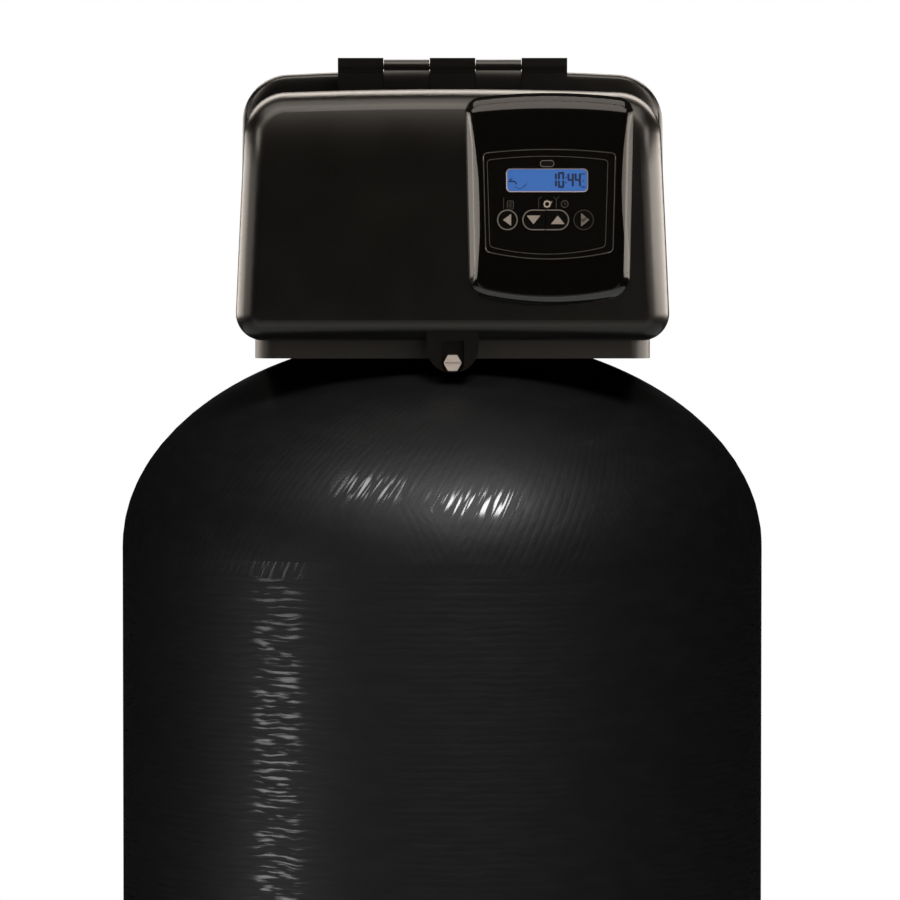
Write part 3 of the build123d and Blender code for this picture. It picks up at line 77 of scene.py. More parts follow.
# %% Lights and the pale studio
WARM = (1.0, 0.90, 0.80)
NEUTRAL = (1.0, 1.0, 1.0)
GROUPS = {"tank": ("tank_shell", "tank_base"), "panel": ("display_panel",)}
LIGHTS = {
    # name: (place, aim, (width, height), radiance, colour, what it may reach)
    "front_box": ((0.55, -2.32, 3.55), (0.02, -0.19, 1.54), (1.3, 0.75), 24.0, NEUTRAL, "tank"),
    "front_side_box": ((-1.1, -1.7, 3.9), (-0.04, -0.18, 1.55), (1.0, 0.7), 9.0, NEUTRAL, "tank"),
    "left_strip": ((-2.33, -1.42, 0.70), (-0.1, -0.18, 0.70), (0.8, 1.2), 4.2, NEUTRAL, "tank"),
    "head_top_box": ((0.0, -1.0, 3.4), (0.0, -0.1, 1.8), (1.8, 0.9), 4.0, WARM, "head"),
    "head_over_box": ((0.0, -0.2, 3.3), (0.0, -0.1, 1.8), (1.8, 0.8), 2.2, WARM, "head"),
    "head_back_strip": ((0.0, 0.9, 2.6), (0.0, 0.0, 1.8), (2.0, 0.5), 5.0, WARM, "head"),
    "head_front_left": ((-2.0, -2.1, 3.3), (0.0, -0.1, 1.75), (1.0, 1.0), 6.0, WARM, "head"),
    "head_front_right": ((2.0, -2.1, 3.3), (0.0, -0.1, 1.75), (1.0, 1.0), 6.0, WARM, "head"),
    "head_low_card": ((0.0, -1.5, 0.9), (0.0, -0.1, 1.7), (2.0, 0.6), 0.6, WARM, "head"),
    "head_left_card": ((-1.5, 0.76, 1.8), (0.0, 0.76, 1.8), (2.05, 0.7), 6.0, WARM, "head"),
    "head_left_fill": ((-1.5, -1.02, 1.8), (0.0, -1.02, 1.8), (1.5, 0.7), 2.0, WARM, "head"),
    "head_right_fill": ((1.5, -2.8, 1.8), (0.25, -0.2, 1.75), (1.6, 0.8), 1.8, WARM, "head"),
    "head_right_card": ((1.5, -0.2, 1.85), (0.0, -0.2, 1.85), (3.0, 0.7), 8.5, WARM, "head"),
    "panel_top_box": ((0.0, -1.0, 3.4), (0.0, -0.1, 1.8), (2.6, 1.4), 2.7, WARM, "panel"),
    "panel_left_card": ((-1.5, -0.7, 1.8), (0.0, -0.7, 1.8), (2.2, 0.5), 4.4, WARM, "panel"),
    "panel_right_card": ((1.5, -0.3, 1.8), (0.0, -0.3, 1.8), (2.2, 0.5), 3.0, WARM, "panel"),
    "panel_low_card": ((0.0, -1.5, 0.9), (0.0, -0.1, 1.7), (2.0, 0.6), 0.2, WARM, "panel"),
    "tank_back_strip": ((0.0, 2.9, 1.5), (0.0, 0.0, 1.2), (0.5, 2.4), 4.0, NEUTRAL, "tank"),
    "floor_box": ((0.0, 0.0, 5.0), (0.0, 0.0, 0.0), (5.0, 5.0), 3.2, NEUTRAL, "floor"),
}
reach = {name: bpy.data.collections.new(name + "_lit") for name in ("tank", "panel", "head", "floor")}
for name, node in nodes.items():
    group = next((group for group, members in GROUPS.items() if name in members), "head")
    reach[group].objects.link(node)


def soft_box(name, place, aim, size, radiance, colour, target):
    """A rectangular light, turned towards a point, unseen by the camera, that reaches only its own group."""
    light = bpy.data.lights.new(name, "AREA")
    light.shape = "RECTANGLE"
    light.size, light.size_y = size
    light.energy = radiance * math.pi * light.size * light.size_y
    light.color = colour
    lamp = bpy.data.objects.new(name, light)
    lamp.location = place
    lamp.rotation_euler = (Vector(aim) - Vector(place)).to_track_quat("-Z", "Y").to_euler()
    lamp.visible_camera = False
    lamp.light_linking.receiver_collection = reach[target]
    bpy.context.scene.collection.objects.link(lamp)


for lamp_name, facts in LIGHTS.items():
    soft_box(lamp_name, *facts)

HORIZON = 0.003
CEILING = 0.025

world = bpy.data.worlds.new("pale_studio")
world.use_nodes = True
bpy.context.scene.world = world
sky = world.node_tree.nodes
links = world.node_tree.links
backdrop = sky["Background"]
backdrop.inputs["Color"].default_value = (1, 1, 1, 1)
dim = sky.new("ShaderNodeBackground")
dim.inputs["Color"].default_value = (*WARM, 1)
direction = sky.new("ShaderNodeSeparateXYZ")
links.new(sky.new("ShaderNodeTexCoord").outputs["Generated"], direction.inputs["Vector"])
height = sky.new("ShaderNodeMapRange")
for socket, number in {"From Min": 0.25, "From Max": 0.8, "To Min": HORIZON, "To Max": CEILING}.items():
    height.inputs[socket].default_value = number
links.new(direction.outputs["Z"], height.inputs["Value"])
links.new(height.outputs["Result"], dim.inputs["Strength"])
path = sky.new("ShaderNodeLightPath")
mix = sky.new("ShaderNodeMixShader")
links.new(path.outputs["Is Camera Ray"], mix.inputs["Fac"])
links.new(dim.outputs["Background"], mix.inputs[1])
links.new(backdrop.outputs["Background"], mix.inputs[2])
links.new(mix.outputs["Shader"], sky["World Output"].inputs["Surface"])
bpy.context.scene.view_settings.view_transform = "Standard"
print("lights:", ", ".join(LIGHTS))

# %% [markdown]
# The floor is a plain pale disc, wide enough for the views from the side.

# %% Floor
FLOOR_RADIUS = 3.0


def disc_mesh(name, radius, sides=96):
    """A flat disc at the floor's height."""
    work = bmesh.new()
    bmesh.ops.create_circle(work, cap_ends=True, segments=sides, radius=radius)
    mesh = bpy.data.meshes.new(name)
    work.to_mesh(mesh)
    work.free()
    return mesh


floor = bpy.data.objects.new("floor", disc_mesh("floor", FLOOR_RADIUS))
bpy.context.scene.collection.objects.link(floor)
reach["floor"].objects.link(floor)

# %% [markdown]
# Every finish below is worked out by nodes from the place on the object. Two small classes keep that
# readable: Value lets sums on sockets be written like sums on numbers, and Finish makes one material.

# %% Shader helpers
SHADER_INPUTS = {"metallic": "Metallic", "coat_weight": "Coat Weight", "coat_roughness": "Coat Roughness",
                 "coat_ior": "Coat IOR", "specular_level": "Specular IOR Level"}


class Value:
    """A number that changes over the surface."""

    def __init__(self, finish, socket):
        self.finish = finish
        self.socket = socket

    def maths(self, operation, *others):
        return self.finish.maths(operation, self, *others)

    def __add__(self, other):
        return self.maths("ADD", other)

    __radd__ = __add__

    def __mul__(self, other):
        return self.maths("MULTIPLY", other)

    __rmul__ = __mul__

    def __sub__(self, other):
        return self.maths("SUBTRACT", other)

    def __rsub__(self, other):
        return self.finish.maths("SUBTRACT", other, self)

    def __truediv__(self, other):
        return self.maths("DIVIDE", other)

    def __pow__(self, other):
        return self.maths("POWER", other)

    def sine(self):
        return self.maths("SINE")

    def floor(self):
        return self.maths("FLOOR")

    def fraction(self):
        return self.maths("FRACT")

    def size(self):
        return self.maths("ABSOLUTE")

    def above(self, edge):
        return self.maths("GREATER_THAN", edge)

    def limited(self, low=0.0, high=1.0):
        return self.maths("MAXIMUM", low).maths("MINIMUM", high)

    def ramp(self, low, high):
        """0 below low, 1 above high and smooth between."""
        made = self.finish.node("MapRange", {"interpolation_type": "SMOOTHSTEP"},
                                {"Value": self, "From Min": low, "From Max": high})
        return Value(self.finish, made.outputs["Result"])


class Finish:
    """One material: its nodes are added by plain calls and it ends in one shader."""

    def __init__(self, name, colour=(0.5, 0.5, 0.5), roughness=0.5, **settings):
        self.material = bpy.data.materials.new(name)
        self.material.use_nodes = True
        self.tree = self.material.node_tree
        self.shader = self.tree.nodes["Principled BSDF"]
        self.shader.inputs["Base Color"].default_value = (*colour, 1)
        self.shader.inputs["Roughness"].default_value = roughness
        for key, value in settings.items():
            self.shader.inputs[SHADER_INPUTS[key]].default_value = value
        self.place = self.node("TexCoord").outputs["Object"]
        axes = self.node("SeparateXYZ", {}, {"Vector": self.place}).outputs
        self.x, self.y, self.z = (Value(self, axes[axis]) for axis in "XYZ")

    def join(self, socket, value):
        if isinstance(value, Value):
            value = value.socket
        if isinstance(value, bpy.types.NodeSocket):
            self.tree.links.new(value, socket)
        else:
            socket.default_value = value

    def node(self, kind, settings=None, inputs=None):
        made = self.tree.nodes.new("ShaderNode" + kind)
        for key, value in (settings or {}).items():
            setattr(made, key, value)
        for key, value in (inputs or {}).items():
            self.join(made.inputs[key], value)
        return made

    def maths(self, operation, *values):
        made = self.node("Math", {"operation": operation}, dict(enumerate(values)))
        return Value(self, made.outputs[0])

    def stretched(self, scale):
        """The place on the object with each axis scaled, for a drawn out pattern."""
        made = self.node("Mapping", {}, {"Vector": self.place, "Scale": scale})
        return made.outputs[0]

    def noise(self, scale, detail=2.0, vector=None, rough=0.5):
        inputs = {"Vector": vector or self.place, "Scale": scale, "Detail": detail, "Roughness": rough}
        return Value(self, self.node("TexNoise", {}, inputs).outputs[0])

    def cells(self, scale, vector=None, output="Distance"):
        inputs = {"Vector": vector or self.place, "Scale": scale}
        return Value(self, self.node("TexVoronoi", {}, inputs).outputs[output])

    def combined(self, x, y, z):
        return self.node("CombineXYZ", {}, {0: x, 1: y, 2: z}).outputs[0]

    def blend(self, mask, first, second):
        """The first colour where the mask is 0 and the second where it is 1."""
        made = self.node("Mix", {"data_type": "RGBA"})
        self.join(made.inputs[0], mask)
        for socket, colour in ((made.inputs[6], first), (made.inputs[7], second)):
            self.join(socket, (*colour, 1) if isinstance(colour, tuple) else colour)
        return made.outputs[2]

    def colour(self, value):
        self.join(self.shader.inputs["Base Color"], value)

    def roughness(self, value):
        self.join(self.shader.inputs["Roughness"], value)

    def coat(self, value):
        self.join(self.shader.inputs["Coat Weight"], value)

    def bump(self, height, distance, strength=1.0):
        made = self.node("Bump", {}, {"Height": height, "Distance": distance, "Strength": strength})
        self.join(self.shader.inputs["Normal"], made.outputs["Normal"])


def dress(finish, *names):
    """Gives CAD nodes a finish."""
    for name in names:
        mesh = nodes[name].data
        mesh.materials.clear()
        mesh.materials.append(finish.material)
    print(finish.material.name, "on", len(names), "nodes")


# %% [markdown]
# The tank is wound from resin-wet glass rovings. On the wall they lie almost level, side by side, and each
# one is a low ridge, dry here and sealed with a skin of resin there, so a tall light breaks into dashes. On the
# dome each roving runs in one plane past the neck, so it climbs at a slant, leans over near the top and
# comes down on the far side. Every spot is crossed by a climbing and a falling layer. A real winding has
# hundreds of rovings, far too fine to model, so the ridges are a bump that follows these two rules.

# %% Wound tank
DOME_RISE = 0.136
TANK_RADIUS = 0.2055
DOME_START = 1.508
OPENING_RADIUS = 0.065
HOOP_PITCH = 0.0044
ROVING_COUNT = 230
HOOP_HEIGHT = 0.00005
HOOP_WAVE = 0.00022
POLAR_HEIGHT = 0.000045
POLAR_WAVE = 0.0002
WINDING_BLACK = (0.0034, 0.0034, 0.0035)
WINDING_GREY = (0.0050, 0.0050, 0.0050)
DULL = 0.51
DULL_LEVEL = 0.33
RESIN_ROUGHNESS = 0.13
FULL_TURN = 2 * math.pi


def ridge(position):
    """A round crest for each whole number, with a sharp valley between neighbours."""
    offset = position.fraction() - 0.5
    return 1.0 - offset * offset * 4.0


def wound_tank():
    made = Finish("wound_tank", WINDING_BLACK, DULL, specular_level=DULL_LEVEL, coat_roughness=RESIN_ROUGHNESS)
    turns = made.maths("ARCTAN2", made.y, made.x) / FULL_TURN
    drift = made.noise(1.0, 1.0, made.combined(turns * 60.0, made.z * 20.0, 0.0))
    level = made.z / HOOP_PITCH + turns + drift
    along_hoop = made.combined(turns * 46.0, level * 0.8, 0.0)
    hoops = ridge(level) * HOOP_HEIGHT + made.noise(1.0, 2.0, along_hoop, 0.5) * HOOP_WAVE
    hoop_wet = made.noise(1.0, 2.0, made.combined(turns * 60.0, level * 1.8, 5.0), 0.5)
    full_climb = DOME_RISE * (1 - (OPENING_RADIUS / TANK_RADIUS) ** 2) ** 0.5
    climb = ((made.z - DOME_START) / full_climb).limited(-0.5, 0.99)
    level_share = (1.0 - climb * climb) ** 0.5
    swing = made.maths("ARCTAN2", climb * OPENING_RADIUS, level_share * TANK_RADIUS)
    layers = []
    wets = []
    for side in (-1, 1):
        across = (turns + swing * (side / FULL_TURN)) * ROVING_COUNT
        strand = made.combined(across * 0.9, climb * 14.0, side * 3.0)
        layers.append(ridge(across) * POLAR_HEIGHT + made.noise(1.0, 2.0, strand, 0.5) * POLAR_WAVE)
        wets.append(made.noise(1.0, 1.0, made.combined(across * 2.2, climb * 6.0, side * 7.0), 0.5))
    bands = made.noise(9.0, 1.0).ramp(0.40, 0.46)
    polar = layers[0] * bands + layers[1] * (1.0 - bands)
    polar_wet = wets[0] * bands + wets[1] * (1.0 - bands)
    on_dome = (made.z + made.noise(14.0) * 0.008).ramp(DOME_START - 0.006, DOME_START - 0.002)
    made.bump(hoops * (1.0 - on_dome) + polar * on_dome, 1.0)
    hoop_resin = (hoop_wet + ridge(level) * 0.12).ramp(0.59, 0.76)
    made.coat(hoop_resin * (1.0 - on_dome) + polar_wet.ramp(0.50, 0.62) * on_dome * (1.0 - climb.ramp(0.48, 0.60)))
    blotches = made.noise(40.0, 4.0, made.stretched((1, 1, 3)))
    made.colour(made.blend(blotches.ramp(0.4, 0.7), WINDING_BLACK, WINDING_GREY))
    return made


dress(wound_tank(), "tank_shell")

# %% [markdown]
# The covers are injection moulded in a satin black, slightly warm. Moulding leaves a fine even grain and a
# few long soft waves where the plastic shrank, and handling leaves it a little shinier in places.

# %% Cover plastic
COVER_BLACK = (0.0021, 0.0018, 0.0015)
COVER_ROUGHNESS = 0.29
HINGE_RISE = 0.021
CROWN_DEPTH = 0.050
CROWN_BEND = 8.0
KNUCKLE_RISE = 0.0067
REAR_CORNER = 0.030
REAR_ARCH = 0.0045
REAR_ROUND = 0.008
REAR_BEND = 60.0


def lid_crown(made):
    """The lid's face leans back softly towards its top edge, as moulded covers do."""
    low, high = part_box("front_cover")
    over = (made.z - (high.z - HINGE_RISE - CROWN_DEPTH)).limited(0.0, CROWN_DEPTH)
    return over * over * (-CROWN_BEND / 2)


def inside_outline(made, low, high, corner):
    """How far a spot lies inside a round-cornered outline, seen from the front."""
    over_x = (made.x - (low.x + high.x) / 2).size() - ((high.x - low.x) / 2 - corner)
    over_z = (made.z - (low.z + high.z) / 2).size() - ((high.z - low.z) / 2 - corner)
    around = (over_x.limited() * over_x.limited() + over_z.limited() * over_z.limited()) ** 0.5
    return corner - around - over_x.maths("MAXIMUM", over_z).maths("MINIMUM", 0.0)


def rear_rim(made):
    """The rear cover's rim rolls back all along its arched outline."""
    low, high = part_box("rear_cover")
    top = Vector((high.x, high.y, high.z - KNUCKLE_RISE))
    share = (made.x - (low.x + high.x) / 2) / ((high.x - low.x) / 2)
    depth = inside_outline(made, low, top, REAR_CORNER) - share * share * REAR_ARCH
    over = (REAR_ROUND - depth).limited(0.0, REAR_ROUND)
    return over * over * (-REAR_BEND / 2)


def moulded_black(name, colour, roughness, grain=0.00003, crown=None):
    made = Finish(name, colour, roughness)
    texture = (made.noise(2600.0, 2.0) + made.noise(60.0) * 2.0) * (grain * 0.35)
    made.bump(texture if crown is None else texture + crown(made), 1.0)
    made.roughness(roughness - 0.04 + made.noise(35.0, 3.0) * 0.08)
    lighter = tuple(value * 1.35 for value in colour)
    made.colour(made.blend(made.noise(18.0, 3.0).ramp(0.35, 0.75), colour, lighter))
    return made


dress(moulded_black("lid_plastic", COVER_BLACK, COVER_ROUGHNESS, crown=lid_crown), "front_cover")
dress(moulded_black("rear_plastic", COVER_BLACK, COVER_ROUGHNESS, crown=rear_rim), "rear_cover")
dress(moulded_black("cover_plastic", COVER_BLACK, COVER_ROUGHNESS), "board_cover")
dress(moulded_black("tray_plastic", (0.0060, 0.0054, 0.0050), 0.42), "base_tray")
dress(moulded_black("boot_plastic", (0.014, 0.014, 0.014), 0.55, 0.00006), "tank_base")
dress(moulded_black("filled_plastic", (0.02, 0.02, 0.021), 0.5, 0.00005), "valve_body", "drive_cap",
      "injector_cap", "drive_bracket", "bypass_body", "rotor_caps", "union_nuts", "inlet_tailpiece",
      "outlet_tailpiece", "neck_insert", "key_switches")

# %% [markdown]
# The display panel is polished: almost a mirror, with the faint orange peel of a thick glossy moulding. The
# window is printed film on the same gloss, so it reflects a little less sharply, and so do the keys.

# %% Gloss panel, window and keys
GLOSS_IOR = 1.6
MARGIN_WIDTH = 0.0115
BENT_WIDTH = 0.0035
MARGIN_BEND = 125.0
MARGIN_ARCH = 0.003
# How each side's margin swells: its least width, how much wider it gets, and the height and reach of that.
LEFT_SWELL = (0.0025, 0.0095, 1.7215, 0.062)
RIGHT_SWELL = (0.0025, 0.0070, 1.7400, 0.044)


def swollen(made, swell):
    """A margin's width at each height: widest at one height and least beyond its reach."""
    least, extra, height, reach = swell
    share = (made.z - height) / reach
    return least + (1.0 - share * share).limited() * extra


def panel_crown(made):
    """The panel's margin falls away gently before its edge turns over, in a lens at each side and an arch above."""
    low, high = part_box("display_panel")
    centre = (low.x + high.x) / 2
    half = (high.x - low.x) / 2
    across = made.x - centre
    arch = across * across * (MARGIN_ARCH / half ** 2)
    fall = 0.0
    for depth in (swollen(made, LEFT_SWELL) - across - half,
                  across + swollen(made, RIGHT_SWELL) - half,
                  made.z + arch - (high.z - MARGIN_WIDTH)):
        depth = depth.limited(0.0, MARGIN_WIDTH)
        bent = depth.limited(0.0, BENT_WIDTH)
        fall = bent * bent * (MARGIN_BEND / 2) + (depth - bent) * (MARGIN_BEND * BENT_WIDTH) + fall
    return fall * -1.0


def gloss_black(name, colour, roughness, ripple, crown=None):
    made = Finish(name, colour, roughness, coat_weight=0.7, coat_roughness=0.03, coat_ior=GLOSS_IOR)
    peel = (made.noise(140.0, 1.0) + made.noise(900.0, 1.0) * 0.1) * (ripple * 0.3)
    made.bump(peel if crown is None else peel + crown(made), 1.0)
    dust = made.noise(1500.0, 1.0).ramp(0.72, 0.8)
    made.roughness(roughness + dust * 0.12)
    return made


dress(gloss_black("panel_gloss", (0.0045, 0.0042, 0.0038), 0.12, 0.00006, panel_crown), "display_panel")
dress(gloss_black("window_film", (0.0028, 0.0026, 0.0022), 0.16, 0.00003), "display_window")
dress(gloss_black("key_caps", (0.0028, 0.0026, 0.0022), 0.2, 0.00003), "key_left", "key_down", "key_up", "key_right")
dress(gloss_black("light_pipe", (0.008, 0.008, 0.008), 0.15, 0.00002), "led_light_pipe")

# %% [markdown]
# The screen is a backlit liquid crystal: its own light is bluest at the middle and its edges fall off.

# %% Blue screen


def blue_screen():
    made = Finish("blue_screen", (0.006, 0.018, 0.05), 0.25)
    low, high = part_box("lcd_module")
    middle_x = (low.x + high.x) / 2
    middle_z = (low.z + high.z) / 2
    across = ((made.x - middle_x) / (high.x - low.x)).size() * 2.0
    upright = ((made.z - middle_z) / (high.z - low.z)).size() * 2.0
    edge = (across.ramp(0.7, 1.05) * 0.35 + upright.ramp(0.5, 1.1) * 0.25)
    speckle = made.noise(3000.0, 1.0) * 0.06
    glow = made.blend(edge + speckle, (0.048, 0.139, 0.420), (0.036, 0.108, 0.36))
    made.join(made.shader.inputs["Emission Color"], glow)
    made.shader.inputs["Emission Strength"].default_value = 0.92
    return made


dress(blue_screen(), "lcd_module")

# %% [markdown]
# Steel screws and pins are turned and brushed, so their scratches run round them. The white gears and slides
# are acetal, the seals are black rubber, the board is green lacquer, and the handles are red.

# %% Small parts


def brushed_steel(name, colour, roughness):
    made = Finish(name, colour, roughness, metallic=1.0)
    scratches = made.noise(900.0, 3.0, made.stretched((1, 1, 14)))
    made.bump(scratches, 0.00002, 0.6)
    made.roughness(roughness - 0.08 + scratches * 0.18)
    made.colour(made.blend(made.noise(150.0, 2.0), colour, tuple(value * 0.8 for value in colour)))
    return made


def plain_plastic(name, colour, roughness):
    made = Finish(name, colour, roughness)
    made.bump(made.noise(1200.0, 2.0), 0.00003, 0.4)
    made.colour(made.blend(made.noise(50.0, 3.0), colour, tuple(value * 0.86 for value in colour)))
    made.roughness(roughness + made.noise(200.0, 2.0) * 0.1)
    return made


def granules(name, colour, grain):
    made = Finish(name, colour, 0.85)
    spots = made.cells(1.0 / grain)
    made.bump(1.0 - spots, grain / 2, 0.9)
    made.colour(made.blend(spots, tuple(value * 0.4 for value in colour), colour))
    return made


dress(brushed_steel("screw_steel", (0.78, 0.72, 0.68), 0.5), "cover_screw")
dress(brushed_steel("brushed_steel", (0.55, 0.5, 0.46), 0.36), "hinge_pin", "piston_rod",
      "injector_screws", "bracket_screws", "gear_axle", "gear_clip", "tray_screws", "rear_cover_screws",
      "screw_clip", "board_screws")
dress(brushed_steel("motor_can", (0.6, 0.6, 0.6), 0.38), "drive_motor")
dress(plain_plastic("acetal", (0.8, 0.78, 0.72), 0.42), "drive_gear", "reduction_gear", "motor_pinion", "piston",
      "stack_spacers", "inlet_rotor", "outlet_rotor")
dress(plain_plastic("natural_plastic", (0.7, 0.68, 0.62), 0.45), "drain_fitting", "riser_tube",
      "bottom_distributor", "top_distributor")
dress(plain_plastic("seal_rubber", (0.012, 0.012, 0.012), 0.55), "tank_seal", "riser_seal", "stack_seals",
      "drain_seal", "port_seals", "cable_gland")
dress(plain_plastic("board_lacquer", (0.01, 0.09, 0.035), 0.3), "control_board")
dress(plain_plastic("handle_red", (0.45, 0.016, 0.012), 0.38), "inlet_handle", "outlet_handle")
dress(granules("carbon_granules", (0.02, 0.02, 0.02), 0.0014), "carbon_bed")
dress(granules("gravel", (0.4, 0.35, 0.28), 0.005), "gravel_bed")

# %% [markdown]
# The window carries fine print: a ring round each key with its arrow, small icons with leader lines, and the
# screen shows the time. Two light lines round the window are painted highlights on its edges, laid the same
# way. On the real head the print is screen printing, flat and thin. Here each print is drawn flat in the
# panel's plane and then laid on whatever surface lies behind every point, so it follows the bowed cover and
# sits on the keys. Its places are counted from the middles of those pieces.

# %% Laying print and painted highlights on the front of the head
LIFT = 0.00004
PRINTED = ("display_panel", "display_window", "lcd_module", "led_light_pipe", "key_left", "key_down", "key_up",
           "key_right")


def front_surface(names):
    """One search tree over the front pieces."""
    points = []
    faces = []
    for name in names:
        mesh = nodes[name].data
        first = len(points)
        points += [vertex.co.copy() for vertex in mesh.vertices]
        faces += [[first + corner for corner in face.vertices] for face in mesh.polygons]
    return BVHTree.FromPolygons(points, faces)


front = front_surface(PRINTED)


def laid(x, z, lift):
    """The point just in front of the surface behind (x, z), or of the nearest one where a seam lies behind."""
    hit = front.ray_cast(Vector((x, -1.0, z)), Vector((0, 1, 0)))[0]
    hit = hit or front.find_nearest(Vector((x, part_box("key_left")[0].y, z)))[0]
    return Vector((x, hit.y - lift, z))


def middle_of(name):
    low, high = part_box(name)
    return (low.x + high.x) / 2, (low.z + high.z) / 2


def divided(path, closed, longest=3.0):
    """The path with points added, so that no stretch is long enough to cut through the bowed cover."""
    ends = path[1:] + (path[:1] if closed else [])
    points = []
    for (x, z), (to_x, to_z) in zip(path, ends):
        steps = max(1, math.ceil(math.hypot(to_x - x, to_z - z) / longest))
        points += [(x + (to_x - x) * step / steps, z + (to_z - z) * step / steps) for step in range(steps)]
    return points if closed else points + [path[-1]]


class FlatMark:
    """Flat shapes in millimetres about a middle point, gathered and laid on the surface as one piece."""

    def __init__(self, middle):
        self.middle = middle
        self.points = []
        self.faces = []

    def area(self, outline):
        first = len(self.points)
        self.points += outline
        self.faces.append(list(range(first, first + len(outline))))

    def band(self, path, width, closed=False):
        """A line of a width along a path, mitred at its bends."""
        path = divided(path, closed)
        first = len(self.points)
        count = len(path)
        for place, (x, z) in enumerate(path):
            before = path[place - 1] if closed or place else path[place]
            after = path[(place + 1) % count] if closed or place < count - 1 else path[place]
            run = Vector((after[0] - before[0], after[1] - before[1])).normalized() * (width / 2)
            self.points += [(x - run.y, z + run.x), (x + run.y, z - run.x)]
        last = count if closed else count - 1
        for place in range(last):
            near = first + place * 2
            far = first + (place + 1) % count * 2
            self.faces.append([near, far, far + 1, near + 1])

    def finish(self, name, body, material, lift=LIFT):
        middle_x, middle_z = self.middle
        mesh = bpy.data.meshes.new(name)
        places = [laid(middle_x + x * MM, middle_z + z * MM, lift) for x, z in self.points]
        mesh.from_pydata(places, [], self.faces)
        work = bmesh.new()
        work.from_mesh(mesh)
        for face in work.faces:
            face.normal_update()
            if face.normal.y > 0:
                face.normal_flip()
        work.to_mesh(mesh)
        work.free()
        mesh.materials.append(material)
        piece = bpy.data.objects.new(name, mesh)
        bpy.context.scene.collection.objects.link(piece)
        reach["head"].objects.link(piece)
        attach(piece, body)
        print(name, len(mesh.polygons), "faces on", body)
        return piece


def arc(x, z, radius, start=0, end=360, steps=48):
    """Points on a circle between two angles in degrees, counted from +X towards +Z."""
    angles = [math.radians(start + (end - start) * step / steps) for step in range(steps + 1)]
    return [(x + radius * math.cos(angle), z + radius * math.sin(angle)) for angle in angles]


def circle(x, z, radius, steps=64):
    return arc(x, z, radius, 0, 360, steps)[:-1]


def softened(corners, radius, steps=8):
    """A closed outline with each corner rounded off by a curve that starts a radius before it."""
    outline = []
    for place, corner in enumerate(corners):
        corner = Vector(corner)
        before = Vector(corners[place - 1]) - corner
        after = Vector(corners[(place + 1) % len(corners)]) - corner
        cut = min(radius, before.length / 2, after.length / 2)
        start = corner + before.normalized() * cut
        end = corner + after.normalized() * cut
        for step in range(steps + 1):
            share = step / steps
            point = start.lerp(corner, share).lerp(corner.lerp(end, share), share)
            outline.append((point.x, point.y))
    return outline


def ink_and_highlight_paint(name, colour, roughness=0.35):
    """The print's paint, also the paint of the painted highlight lines round the window: slightly uneven in density,
    as a screen print is, and a little less glossy than the film.
    """
    made = Finish(name, colour, roughness)
    thin = made.noise(900.0, 2.0).ramp(0.3, 0.7)
    made.colour(made.blend(thin, tuple(value * 0.86 for value in colour), colour))
    made.roughness(roughness + made.noise(2000.0, 1.0) * 0.1)
    return made.material


print("front pieces for print:", len(PRINTED))

# %% [markdown]
# The two frame lines are painted highlights: light lines for the light caught by the polished edge of the film
# and by the edge of the step inside it. They follow the window's own outline: sides that lean in towards the
# bottom, a top edge and a bottom edge that bow outwards, and round corners.

# %% Painted highlight lines round the window
WINDOW_LOW, WINDOW_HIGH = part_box("display_window")
WINDOW_HALF = (WINDOW_HIGH.x - WINDOW_LOW.x) / 2 / MM
WINDOW_TALL = (WINDOW_HIGH.z - WINDOW_LOW.z) / 2 / MM
SIDE_LEAN = 1.6
TOP_BOW = 2.4
BOTTOM_BOW = 4.6
FRAME_CORNER = 6.0
LINE_WIDTH = 0.5


def arched_frame(left, right, top, bottom):
    """The window's outline, drawn in by its four margins."""
    steps = 16
    half = WINDOW_HALF - (left + right) / 2
    shift = (left - right) / 2
    corners = []
    for step in range(steps + 1):
        share = 2 * step / steps - 1
        corners.append((shift + half * share, WINDOW_TALL - top - TOP_BOW * share ** 2))
    for step in range(steps + 1):
        share = 1 - 2 * step / steps
        corners.append((shift + (half - SIDE_LEAN) * share, bottom - WINDOW_TALL + BOTTOM_BOW * share ** 2))
    return softened(corners, FRAME_CORNER)


def frame_highlight_lines():
    # Both lines are painted highlights, light lines where the window's edges catch the light.
    outer = FlatMark(middle_of("display_window"))
    outer.band(arched_frame(0.5, 0.5, 0.5, 0.5), LINE_WIDTH, closed=True)
    # Painted highlight: the light on the polished edge of the film.
    outer.finish("window_edge_highlight", "lid", ink_and_highlight_paint("edge_highlight_paint", (0.065, 0.058, 0.053), 0.3))
    inner = FlatMark(middle_of("display_window"))
    inner.band(arched_frame(2.9, 5.2, 4.7, 3.5), LINE_WIDTH * 0.8, closed=True)
    # Painted highlight: the light on the edge of the step inside the film.
    inner.finish("window_inner_highlight", "lid", ink_and_highlight_paint("inner_highlight_paint", (0.050, 0.046, 0.042), 0.3))


frame_highlight_lines()

# %% [markdown]
# Each key has its own print, which rides on the key and so moves in with it. The two middle keys share one
# capsule: each carries its half of the line and its triangle.

# %% Key prints
KEY_LINE = 0.75
KEY_INSET = 1.35
KEY_LINE_COLOUR = (0.12, 0.110, 0.102)
KEY_ARROW_COLOUR = (0.25, 0.225, 0.20)


def triangle(point_x, point_z, base_x, base_z, spread_x, spread_z):
    """A triangle from its tip and the middle of its base, spread both ways."""
    return [(point_x, point_z), (base_x + spread_x, base_z + spread_z), (base_x - spread_x, base_z - spread_z)]


def half_capsule(key, side):
    """The line round the outer half of the capsule that two keys share."""
    low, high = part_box(key)
    half = (high.x - low.x) / 2 / MM
    radius = (high.z - low.z) / 2 / MM - KEY_INSET
    centre = side * (half - radius - KEY_INSET)
    inner_end = side * (0.15 - half)
    outline = FlatMark(middle_of(key))
    bend = arc(centre, 0.0, radius, 90, 270 if side < 0 else -90)
    outline.band([(inner_end, radius)] + bend + [(inner_end, -radius)], KEY_LINE)
    return outline


